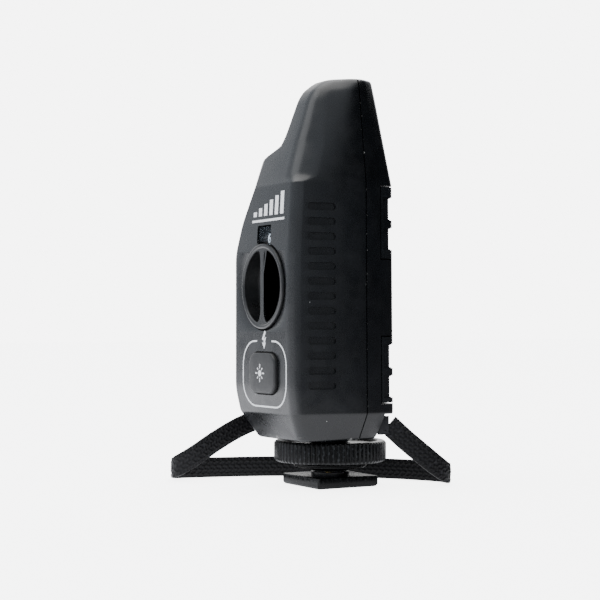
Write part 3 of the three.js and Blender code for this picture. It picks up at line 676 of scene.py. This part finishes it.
def round_polygon(corners, radii):
    """Rounds each corner of a polygon with its own radius."""
    points = []
    count = len(corners)
    for i, corner in enumerate(corners):
        before = corners[i - 1] - corner
        after = corners[(i + 1) % count] - corner
        turn = math.pi - before.angle(after)
        room = 0.48 * min(before.length, after.length)
        tangent = min(radii[i] * math.tan(turn / 2), room)
        lead = min(SIDE_SWEEP, 0.48 * before.length) if i == 1 else tangent
        start = corner + before.normalized() * lead
        end = corner + after.normalized() * tangent
        for step in range(ARC_STEPS + 1):
            t = step / ARC_STEPS
            points.append(start * (1 - t) ** 2 + corner * 2 * t * (1 - t) + end * t ** 2)
    return points


def section(z, inset):
    """The housing's section at a height, with its corners rounded."""
    at = {name: softened(line, z) for name, line in PROFILE.items()}
    corners = [
        (at["near_front"], at["front"]), (at["near_seam"], SEAM_Y), (at["near_back"], at["back"]),
        (at["far_back"], at["back"]), (at["far_seam"], SEAM_Y),
        (at["bevel_side_x"], at["front"] + at["bevel_depth"]), (at["bevel_front_x"], at["front"]),
    ]
    radii = [max(radius - inset, 0.4) for radius in [along(NEAR_FRONT_RADIUS, z), *OTHER_RADII]]
    return round_polygon(inset_polygon([Vector(c) for c in corners], inset), radii)


def heights(bottom, top, step):
    """Even heights, with closer ones round the two creases."""
    count = round((top - bottom) / step)
    levels = {round(bottom + (top - bottom) * i / count, 3) for i in range(count + 1)}
    for crease in (CHAMFER_TOP, CREASE_Z):
        levels |= {round(crease + d, 3) for d in (-0.5, -0.3, -0.15, 0, 0.15, 0.3, 0.5)
                   if bottom < crease + d < top}
    return sorted(levels)


def form(name, levels):
    """The housing's solid through some [height, inset] levels."""
    return skin(name, [[(p.x, p.y, z) for p in section(z, inset)] for z, inset in levels])


def core(bottom, top, step, inset):
    """The housing's form at an even inset inside its surface."""
    return form("core", [(z, inset) for z in heights(bottom, top, step)])


def outer(name):
    """The housing's whole form, with a small radius round its bottom and top faces."""
    edge = 0.7
    rounded = []
    for part in range(4):
        angle = math.radians(90 * part / 4)
        rounded.append((edge * (1 - math.cos(angle)), edge * (1 - math.sin(angle))))
    levels = [(BODY_BOTTOM + rise, inset) for rise, inset in rounded]
    levels += [(z, 0) for z in heights(BODY_BOTTOM + edge, BODY_TOP - edge, 0.7)]
    levels += [(BODY_TOP - rise, inset) for rise, inset in reversed(rounded)]
    return form(name, levels)


def inner():
    return core(BODY_BOTTOM + WALL, BODY_TOP - WALL, 2.5, WALL)


def skin_layer(depth, bottom, top):
    """Everything outside a surface that lies `depth` inside the housing's own."""
    whole = block((-BIG, -BIG, bottom), (BIG, BIG, top))
    return cut(whole, core(bottom - 1, top + 1, 2.0, depth))


def rounded_rectangle(width, height, radius, steps=8):
    """Points in X and Z, anticlockwise seen from the front."""
    points = []
    for quarter, (sx, sz) in enumerate(((1, -1), (1, 1), (-1, 1), (-1, -1))):
        for step in range(steps + 1):
            angle = math.radians(90 * (quarter - 1) + 90 * step / steps)
            points.append((
                sx * (width / 2 - radius) + radius * math.cos(angle),
                sz * (height / 2 - radius) + radius * math.sin(angle),
            ))
    return points


def prism_y(points, start, end, x, z):
    """A prism along Y from an outline in X and Z."""
    return skin("prism", [[(x + px, y, z + pz) for px, pz in points] for y in (end, start)])


DIAL_Z = 51.4
DIAL_RADIUS = 10.9
BUTTON_X, BUTTON_Z = 0.8, 29.4
BUTTON_WIDTH, BUTTON_HEIGHT = 13.6, 10.4
SIDE_Y, JACK_Z, USB_Z, SLIDER_Z, LAMP_Z = -13.2, 28, 38.5, 64.5, 55
DISC_RADIUS, DISC_FRONT_Y, DISC_BACK_Y = 13.4, -17.9, -16.9
WINDOW_WIDTH, WINDOW_HEIGHT, WINDOW_Z = 7.2, 4.6, 64.7
STUD_HOLE_RADIUS, JACK_HOLE_RADIUS, LAMP_HOLE_RADIUS = 4.3, 3.1, 1.3
SCREWS = [(-8.4, 81.2, 7.6), (9.2, 84.2, 7)]  # X, Z and the Y that its head stands on
SCREW_HEAD_HOLE, SCREW_SHANK_HOLE, SCREW_BOSS = 2.7, 1.4, 3.2  # radii


def lipped_hole(radius, z):
    """A round hole through the front face, with a small rounded lip."""
    rows = []
    for y, r in ((-BIG, radius + 0.3), (FRONT_Y, radius + 0.3), (FRONT_Y + 0.12, radius + 0.1),
                 (FRONT_Y + 0.4, radius), (DISC_BACK_Y, radius)):
        rows.append([(s, y, z + c) for c, s in circle(r, 96)])
    return skin("hole", rows)


def side_slot(z, half_width, half_height):
    """A rectangular opening in the far side, to cut away."""
    return block((-BIG, SIDE_Y - half_width, z - half_height), (0, SIDE_Y + half_width, z + half_height))


def front_shell():
    """The front half, with its openings for the dial, disc, window, button, stud and side fittings."""
    shell = common(outer("front_housing"), block((-BIG, -BIG, -BIG), (BIG, SEAM_Y - GAP / 2, 2 * BIG)))
    side_cuts = [
        disc("x", JACK_HOLE_RADIUS, -BIG, 0, (0, SIDE_Y, JACK_Z), 48),
        side_slot(USB_Z, 1.9, 4.2),
        side_slot(SLIDER_Z, 1.7, 5.2),
        disc("x", LAMP_HOLE_RADIUS, -BIG, 0, (0, SIDE_Y, LAMP_Z), 32),
    ]
    opening = rounded_rectangle(BUTTON_WIDTH + 2 * GAP, BUTTON_HEIGHT + 2 * GAP, 3.4)
    window = rounded_rectangle(WINDOW_WIDTH, WINDOW_HEIGHT, 0.5)
    cut(
        shell, inner(),
        lipped_hole(DIAL_RADIUS + GAP, DIAL_Z),
        disc("y", DISC_RADIUS + GAP, DISC_FRONT_Y - GAP, DISC_BACK_Y + GAP, (0, 0, DIAL_Z)),
        prism_y(opening, -BIG, -16, BUTTON_X, BUTTON_Z),
        prism_y(window, -BIG, DISC_FRONT_Y + GAP, 0, WINDOW_Z),
        disc("z", STUD_HOLE_RADIUS, 0, 16, (0, 0, 0)),
        *side_cuts,
        side_relief(),
    )
    finish_piece(shell, SHELL, "housing", "shell", "front_shell")


RELIEF_DEPTH = 0.75
RELIEF_BOTTOM = 26.6  # middle of the lowest slot
RELIEF_Y = (-15.6, -8.2)
RELIEF_BARS = 13
RELIEF_PITCH = 3.7
RELIEF_BAR = 1.9


def side_relief():
    """A ladder of round-ended grip slots, sunk a little into the near side."""
    layer = skin_layer(RELIEF_DEPTH, DOOR_BOTTOM, CREASE_Z - 1)
    y0, y1 = RELIEF_Y
    bars = []
    for index in range(RELIEF_BARS):
        z = RELIEF_BOTTOM + index * RELIEF_PITCH
        outline = rounded_rectangle(y1 - y0, RELIEF_BAR, RELIEF_BAR / 2 - 0.05)
        middle = (y0 + y1) / 2
        bars.append(skin("bar", [[(x, middle + u, z + v) for u, v in outline] for x in (8, BIG)]))
    ladder = joined(bars[0], *bars[1:])
    return common(ladder, layer)


def door_region(clearance):
    """The room that the battery door fills, grown by a clearance."""
    whole = block((-BIG, DOOR_EDGE_Y - clearance, DOOR_BOTTOM - clearance),
                  (BIG, BIG, DOOR_TOP + clearance))
    tongues = []
    for low_x, high_x in both_sides(TONGUE_X):
        tongues.append(block((low_x, -BIG, TONGUE_BOTTOM + clearance),
                             (high_x, TONGUE_BACK_Y - clearance, TONGUE_TOP - clearance)))
    return cut(whole, *tongues)


def rear_shell():
    """The rear half, with solid corners for the strap's eyelets and bosses for the two screws."""
    shell = common(outer("rear_housing"), block((-BIG, SEAM_Y + GAP / 2, -BIG), (BIG, BIG, 2 * BIG)))
    bores = []
    for x, z, head in SCREWS:
        bores.append(disc("y", SCREW_HEAD_HOLE, head - 2, BIG, (x, 0, z), 48))
        bores.append(disc("y", SCREW_HEAD_HOLE + 0.3, 8.4, BIG, (x, 0, z), 48))
    cut(shell, inner(), door_region(GAP), disc("z", STUD_HOLE_RADIUS, 0, 16, (0, 0, 0)))
    corners = []
    for low_x, high_x in both_sides(EYELET["x"] - 1.2):
        corners.append(block((low_x, EYELET["y"] - 1.2, EYELET["bottom"] - 0.5),
                             (high_x, BIG, EYELET["top"] + 0.8)))
    bosses = [disc("y", SCREW_BOSS, SEAM_Y + GAP / 2, head + 1, (x, 0, z), 48) for x, z, head in SCREWS]
    solids = common(joined(corners[0], corners[1], *bosses), outer("limit"))
    joined(shell, solids)
    eyelets = []
    for low_x, high_x in both_sides(EYELET["x"]):
        eyelets.append(block((low_x, EYELET["y"], EYELET["bottom"]), (high_x, BIG, EYELET["top"])))
    shanks = [disc("y", SCREW_SHANK_HOLE, -1, BIG, (x, 0, z), 32) for x, z, head in SCREWS]
    cut(shell, *eyelets, *bores, *shanks)
    finish_piece(shell, SHELL, "housing", "shell", "rear_shell")


def battery_door():
    """The cover at the back, with stepped pockets where it wraps round the corners."""
    door = cut(outer("battery_cover"), core(BODY_BOTTOM + 2, CREASE_Z + 2, 2.5, DOOR_WALL))
    common(door, door_region(0))
    layers = []
    for depth, widening in ((0.4, 0.25), (0.8, 0)):
        layer = skin_layer(depth, DOOR_BOTTOM - 3, CREASE_Z + 1)
        blocks = []
        for low, high in POCKETS:
            for low_x, high_x in both_sides(POCKET_X - widening):
                blocks.append(block((low_x, DOOR_EDGE_Y + 0.9 - widening, low - widening),
                                    (high_x, BIG, high + widening)))
        layers.append(common(joined(blocks[0], *blocks[1:]), layer))
    cut(door, *layers)
    finish_piece(door, DOOR_PAINTED_GLINT, "door", "door", "battery_door")


front_shell()
rear_shell()
battery_door()


# ---- dial, window and button ----

DIAL_FRONT_Y = -20.4
CUP_BACK_Y = -13.6
SHOWN_NUMBER = 6
DIGIT_SIZE = 3.4
DIGIT_CIRCLE = 12.2  # radius that the digits' middles lie on
SCOOP_RADIUS = 9.5
SCOOP_DEPTH = 5.3
SCOOP_HALF_HEIGHT = 9.05


def ridge_half_width(z):
    """The ridge's half width, which flares where it meets the rim."""
    flare = max(0, (abs(z) - 6.2) / 3.2)
    return 0.85 + (1.5 if z < 0 else 0.7) * flare ** 2


def dial_scoop(side):
    """A deep thumb scoop on one side of the ridge, as a solid to cut away."""
    rows = []
    steps = 48
    for step in range(steps + 1):
        z = SCOOP_HALF_HEIGHT * (2 * step / steps - 1)
        near = ridge_half_width(z)
        far = max(near + 0.02, math.sqrt(max(0, SCOOP_RADIUS ** 2 - z ** 2)))
        fullness = max(0.02, 1 - (abs(z) / SCOOP_HALF_HEIGHT) ** 5)
        row = [(side * near, -BIG, DIAL_Z + z)]
        for part in range(17):
            u = part / 16
            bowl = (1 - abs(2 * u - 1) ** 5) ** 0.6
            x = near + (far - near) * u
            y = DIAL_FRONT_Y + 0.15 + SCOOP_DEPTH * bowl * fullness
            row.append((side * x, y, DIAL_Z + z))
        row.append((side * far, -BIG, DIAL_Z + z))
        rows.append(row)
    return skin("scoop", rows)


def channel_dial():
    r = DIAL_RADIUS
    front = DIAL_FRONT_Y
    profile = [
        (0.001, front + 0.25), (r - 1.15, front + 0.25), (r - 1.05, front + 0.12), (r - 0.75, front),
        (r - 0.35, front), (r - 0.1, front + 0.12), (r, front + 0.4), (r, front + 2), (10.2, front + 2.1),
        (10.2, CUP_BACK_Y), (0.001, CUP_BACK_Y),
    ]
    dial = turned("dial_knob", profile, "y", 128, DIAL_Z)
    for side in (-1, 1):
        cut(dial, dial_scoop(side))
    finish_piece(dial, CONTROL, "dial", "control", "channel_dial")


def printed(name, outlines, surface, material, body, slot, thickness=0.03):
    """Thin ink on a face that looks forwards: outlines in X and Z, laid on surface(z)."""
    points, faces = [], []
    for outline in outlines:
        base = len(points)
        count = len(outline)
        for offset in (0.04, -thickness):
            points += [(x, surface(z) + offset, z) for x, z in outline]
        for i in range(count):
            j = (i + 1) % count
            faces.append((base + i, base + j, base + count + j, base + count + i))
        faces.append(tuple(base + i for i in reversed(range(count))))
        faces.append(tuple(base + count + i for i in range(count)))
    finish_piece(mesh_object(name, points, faces), material, body, slot)


def stroke(points, width):
    """The quads of a line of even width through points in a plane, mitred."""
    left, right = [], []
    for i, point in enumerate(points):
        before = Vector(points[max(i - 1, 0)])
        after = Vector(points[min(i + 1, len(points) - 1)])
        way = (after - before).normalized()
        normal = Vector((-way.y, way.x)) * width / 2
        left.append(tuple(Vector(point) + normal))
        right.append(tuple(Vector(point) - normal))
    return [[right[i], right[i + 1], left[i + 1], left[i]] for i in range(len(points) - 1)]


def front_surface(z):
    return softened(PROFILE["front"], z)


def button_outline():
    """The printed line round the button: large soft corners, open at the top."""
    height, middle_x, middle_z = 16.6, 0.6, 29.2
    half_gap = 3.9
    steps = 10  # in each corner
    loop = rounded_rectangle(22.8, height, 6.2, steps)
    placed = [(middle_x + x, middle_z + z) for x, z in loop]
    first = 2 * (steps + 1)  # where the top edge ends, and the far corner starts
    around = placed[first:] + placed[:first]
    top_z = middle_z + height / 2
    return [(middle_x - half_gap, top_z), *around, (middle_x + half_gap, top_z)]


def bolt_mark():
    """A lightning bolt that ends in an arrowhead."""
    shapes = [
        [(0.5, 39.6), (-0.9, 37.4), (0.2, 37.5), (1.1, 39.2)],
        [(-0.9, 37.4), (0.2, 37.5), (1.3, 38.0), (-0.2, 37.1)],
        [(1.3, 38.0), (0.55, 36.4), (-0.05, 36.4), (0.1, 37.35)],
        [(-0.75, 36.6), (0.25, 34.9), (1.15, 36.6), (0.25, 36.35)],
    ]
    return [[(x + 0.3, z + 0.6) for x, z in shape] for shape in shapes]


def label_mark():
    """Six rising bars over a rule."""
    left, right, bottom, bars = -6.6, 10.2, 67.9, 6
    shapes = [[(left, bottom), (right, bottom), (right, bottom + 0.6), (left, bottom + 0.6)]]
    pitch = (right - left) / bars
    for index in range(bars):
        x, z = left + (index + 0.2) * pitch, bottom + 1.5
        top = z + 1.2 + index * 0.9
        shapes.append([(x, z), (x + 0.6 * pitch, z), (x + 0.6 * pitch, top), (x, top)])
    return shapes


def prints():
    line_width = 0.42
    marks = {"print_outline": stroke(button_outline(), line_width), "print_bolt": bolt_mark(),
             "print_label": label_mark()}
    for name, outlines in marks.items():
        printed(name, outlines, front_surface, WHITE_INK, "housing", "shell")


BUTTON_FRONT_Y = -21
BUTTON_CORNER = 3.1  # radius


def button_row(y, trim, radius):
    outline = rounded_rectangle(BUTTON_WIDTH - 2 * trim, BUTTON_HEIGHT - 2 * trim, radius)
    return [(BUTTON_X + x, y, BUTTON_Z + z) for x, z in outline]


def burst_mark(centre_x, centre_z):
    """A small burst of light: a dot with eight rays."""
    shapes = [circle(0.8, 24)]
    for ray in range(8):
        way = Vector((math.cos(TAU * ray / 8), math.sin(TAU * ray / 8)))
        across = Vector((-way.y, way.x)) * 0.17
        start, end = way * 1.2, way * (2.3 if ray % 2 == 0 else 1.9)
        shapes.append([tuple(start - across), tuple(end - across), tuple(end + across),
                       tuple(start + across)])
    return [[(centre_x + x, centre_z + z) for x, z in shape] for shape in shapes]


def test_button():
    """A cap with a rounded edge and a slightly domed face, on a retaining flange."""
    corner = BUTTON_CORNER
    flange = -0.9  # a negative trim: it stands out past the cap
    rows = [button_row(-16.9, flange, 3.2), button_row(-17.7, flange, 3.2), button_row(-17.75, 0, corner)]
    edge = 0.6
    edge_y = BUTTON_FRONT_Y + 0.15
    for part in range(7):
        angle = math.radians(90 * part / 6)
        trim = edge * (1 - math.cos(angle))
        rows.append(button_row(edge_y + edge * (1 - math.sin(angle)), trim, corner - trim))
    for trim, rise in ((1.6, 0.09), (2.6, 0.13), (3.8, 0.15)):
        rows.append(button_row(edge_y - rise, trim, max(corner - trim, 0.5)))
    button = skin("button_cap", rows)
    finish_piece(button, BUTTON, "button", "control", "test_button")
    mark = burst_mark(BUTTON_X - 0.4, BUTTON_Z)
    printed("print_burst", mark, lambda z: BUTTON_FRONT_Y + 0.03, WHITE_INK, "button", "control", 0.05)


def channel_window():
    rows = []
    for y, trim in ((-18.4, 0), (-19.05, 0), (-19.2, 0.15)):
        outline = rounded_rectangle(6.6 - 2 * trim, 3.9 - 2 * trim, 0.4)
        rows.append([(x, y, WINDOW_Z + 0.05 + z) for x, z in outline])
    lens = skin("window_pane", rows)
    finish_piece(lens, LENS, "housing", "window", "channel_window")


def channel_disc():
    r, front, back, hole = DISC_RADIUS, DISC_FRONT_Y, DISC_BACK_Y, 10.5
    profile = [(hole, front), (r - 0.2, front), (r, front + 0.15), (r, back), (hole, back)]
    ring = turned("number_disc", profile, "y", 128, DIAL_Z)
    finish_piece(ring, DISC, "dial", "disc", "channel_disc")
    for number in range(10):
        channel_digit(number)


def channel_digit(number):
    """A raised digit, bent round the disc. The window shows SHOWN_NUMBER at rest."""
    curve = bpy.data.curves.new(f"digit_{number}", "FONT")
    curve.body = str(number)
    curve.size = DIGIT_SIZE * MM
    curve.offset = 0.06 * MM
    curve.align_x = "CENTER"
    curve.align_y = "CENTER"
    curve.extrude = 0.03 * MM
    text = new_object(f"digit_curve_{number}", curve)
    mesh = baked_mesh(text)
    bpy.data.objects.remove(text)
    digit = new_object(f"digit_{number}", mesh)
    for vertex in mesh.vertices:
        x, up, out = vertex.co / MM
        r = DIGIT_CIRCLE + up
        turn = TAU * ((number - SHOWN_NUMBER) / 10) + x / DIGIT_CIRCLE
        front = DISC_FRONT_Y - 0.03 - out
        vertex.co = Vector((r * math.sin(turn), front, DIAL_Z + r * math.cos(turn))) * MM
    finish_piece(digit, DIGIT_INK, "dial", "disc")


channel_dial()
channel_disc()
channel_window()
test_button()
prints()


# ---- ring, washer and foot ----

RING_RADIUS, RING_BOTTOM, RING_TOP = 14.6, 6.4, 11.7
STEM_RADIUS = 5.0
PIN_BORE = 1.6  # radius of the hole up the middle of foot and stem
RIBS = 72
RIB_DEPTH = 0.45


def rib_radius(share):
    """A rib's outline over one pitch: a flat crest between round grooves."""
    groove = max(0, math.cos(TAU * share) - 0.1) / 0.9
    return -RIB_DEPTH * groove ** 0.6


def locking_ring():
    steps = 10
    count = RIBS * steps
    levels = [
        (RING_BOTTOM, 0.7, 0), (RING_BOTTOM + 0.25, 0.3, 0.4), (RING_BOTTOM + 0.6, 0, 1),
        (RING_TOP - 0.6, 0, 1), (RING_TOP - 0.25, 0.25, 0.4), (RING_TOP, 0.6, 0),
    ]
    rows = []
    for z, inset, relief in levels:
        row = []
        for i in range(count):
            r = RING_RADIUS - inset + relief * rib_radius(i / steps % 1)
            angle = TAU * i / count
            row.append((r * math.cos(angle), r * math.sin(angle), z))
        rows.append(row)
    hole, floor_z = STEM_RADIUS + GAP, RING_TOP - 0.8
    for radius, z in ((12.4, RING_TOP), (12.2, floor_z), (hole, floor_z), (hole, RING_BOTTOM)):
        rows.append([(x, y, z) for x, y in circle(radius, count)])
    ring = skin("knurled_ring", rows, closed_rows=True, sharp_degrees=40)
    finish_piece(ring, RING, "ring", "ring", "locking_ring")


def clamp_washer():
    """The flanged washer: a cone below, and two fine grooves round its rim."""
    hole, top = STEM_RADIUS + GAP, RING_BOTTOM - GAP
    rim, groove = 9.5, 9.35
    profile = [
        (hole, 4.6), (hole + 0.1, 4.5), (7.4, 4.5), (7.6, 4.6), (9.2, 4.95), (rim, 5.1),
        (rim, 5.25), (groove, 5.35), (rim, 5.45), (rim, 5.6), (groove, 5.7), (rim, 5.8), (9.3, top),
        (hole + 0.1, top), (hole, top - 0.1),
    ]
    washer = turned("shoe_washer", profile[::-1], "z", 96)
    finish_piece(washer, FOOT, "washer", "foot", "clamp_washer")


def shoe_foot():
    """The standard foot: a square plate with softened edges, a short neck, and a bore for the pin."""
    half_x, half_y, thick = 9.3, 9.0, 2.8
    rows = []
    for z, inset in ((0, 0.7), (0.12, 0.35), (0.6, 0.03), (0.8, 0), (thick - 0.25, 0), (thick - 0.08, 0.08),
                     (thick, 0.3)):
        outline = rounded_rectangle(2 * (half_x - inset), 2 * (half_y - inset), 0.5)
        rows.append([(x, y, z) for x, y in outline])
    foot = skin("shoe_plate", rows)
    joined(foot, disc("z", STEM_RADIUS, thick - 0.2, 3.6, (0, 0, 0)))
    cut(foot, disc("z", PIN_BORE, -1, 6, (0, 0, 0), 48))
    finish_piece(foot, FOOT, "housing", "foot", "shoe_foot")


def foot_stem():
    """The threaded stem: a rod with fine thread ridges below a plain stud."""
    thread_root, thread_top = STEM_RADIUS - 0.28, 11.6
    stud, stud_top = 4.0, 17.9
    profile = [(PIN_BORE, 3.9), (4.7, 3.9)]
    z = 4.0
    while z < thread_top:
        profile += [(thread_root, z), (STEM_RADIUS, z + 0.2), (thread_root, z + 0.4)]
        z += 0.5
    profile += [(STEM_RADIUS, 11.9), (STEM_RADIUS, 12.1), (stud, 12.1), (stud, stud_top - 0.5),
                (stud - 0.5, stud_top), (PIN_BORE, stud_top)]
    stem = turned("threaded_stem", profile[::-1], "z", 64)
    finish_piece(stem, DARK_STEEL, "housing", "steel", "foot_stem")


locking_ring()
clamp_washer()
shoe_foot()
foot_stem()


# ---- the CAD pieces that stay ----

KEPT = [
    (STEEL, "dial_shaft", "board_screw_1", "board_screw_2", "stem_nut"),
    (DARK_STEEL, "shell_screw_1", "shell_screw_2", "lanyard_bar_1", "lanyard_bar_2"),
    (SPRING, "battery_spring_1", "battery_spring_2", "contact_plate_1", "contact_plate_2",
     "series_plate", "contact_spring"),
    (COMPONENT, "rotary_switch", "test_switch", "power_switch", "sync_jack"),
    (SCREEN, "usb_socket", "rf_shield"),
    (BOARD, "main_board", "antenna_element"),
    (CELL, "battery_1", "battery_2"),
    (CONTROL, "power_slider"),
    (LAMP, "status_led"),
    (TRAY, "battery_tray"),
    (BRASS, "contact_pin"),
]


def dress_kept_nodes():
    for material, *names in KEPT:
        for name in names:
            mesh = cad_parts[name].data
            mesh.materials.clear()
            mesh.materials.append(material)


dress_kept_nodes()


# ---- studio ----

SEEN_WHITE = 6.5  # how bright the background and the lit floor look to the camera
LIT_WHITE = 1.9  # the part of that which the floor gets from the lights, and loses in a shadow


def floor_material():
    """Pale floor. To the object it is a bright stand in a darker room, as its reflections show."""
    material, tree, shader = new_material("pale_floor")
    pale = mix(tree, noise(tree, 4, 2), (0.85, 0.85, 0.85), (0.87, 0.87, 0.87))
    from_stand = {0: object_place(tree), 1: (-0.12, -0.36, 0)}
    far = ramp(tree, add_node(tree, "VectorMath", "Value", from_stand, "DISTANCE"), 0.3, 0.5, 0, 1)
    seen = add_node(tree, "LightPath", "Is Camera Ray", {})
    to_object = mix(tree, far, (0.7, 0.7, 0.72), (0.06, 0.06, 0.065))
    glow = mix(tree, far, (1.6, 1.62, 1.7), (0.1, 0.1, 0.11))
    feed(tree, shader, {
        "Base Color": mix(tree, seen, to_object, pale),
        "Emission Color": mix(tree, seen, glow, (SEEN_WHITE - LIT_WHITE,) * 3),
        "Emission Strength": 1,
        "Roughness": 0.9,
        "Specular IOR Level": 0,
    })
    return material


def add_floor():
    half = 3000
    floor = mesh_object("floor", [(-half, -half, 0), (half, -half, 0), (half, half, 0), (-half, half, 0)],
                        [(0, 1, 2, 3)])
    floor.data.materials.append(floor_material())


def add_key_light():
    """A soft light, above and in front of the object."""
    place, aim = Vector((-0.25, -0.8, 0.75)), Vector((0, 0, 0.05))
    data = bpy.data.lights.new("key", "AREA")
    data.shape = "RECTANGLE"
    data.size = 0.7
    data.size_y = 0.7
    data.energy = 3
    light = new_object("key", data)
    light.location = place
    light.rotation_euler = (aim - place).to_track_quat("-Z", "Y").to_euler()


def toward(tree, direction, degrees, azimuth, elevation):
    """1 in the directions within `degrees` of an azimuth and elevation, falling softly to 0 outside."""
    azimuth, elevation = math.radians(azimuth), math.radians(elevation)
    middle = (math.cos(azimuth) * math.cos(elevation), math.sin(azimuth) * math.cos(elevation),
              math.sin(elevation))
    nearness = add_node(tree, "VectorMath", "Value", {0: direction, 1: middle}, "DOT_PRODUCT")
    outside, inside = math.cos(math.radians(degrees + 6)), math.cos(math.radians(degrees - 6))
    return ramp(tree, nearness, outside, inside, 0, 1)


def light_studio():
    """White background and overhead light, grey in front, and dark beyond the right of the camera."""
    world = bpy.data.worlds.new("studio")
    world.use_nodes = True
    bpy.context.scene.world = world
    tree = world.node_tree
    direction = add_node(tree, "TexCoord", "Generated", {})
    colour = (0.95, 1.02, 1.12)
    regions = [
        (46, 150, 0, (2.2, 2.2, 2.2)),
        (46, 56, 8, (0.02, 0.02, 0.022)),
        (38, 0, 90, (3.6, 3.6, 3.6)),
    ]
    for degrees, azimuth, elevation, own_colour in regions:
        where = toward(tree, direction, degrees, azimuth, elevation)
        colour = mix(tree, where, colour, own_colour)
    seen = add_node(tree, "LightPath", "Is Camera Ray", {})
    colour = mix(tree, seen, colour, (SEEN_WHITE,) * 3)
    feed(tree, tree.nodes["Background"], {"Color": colour})


add_floor()
light_studio()
add_key_light()
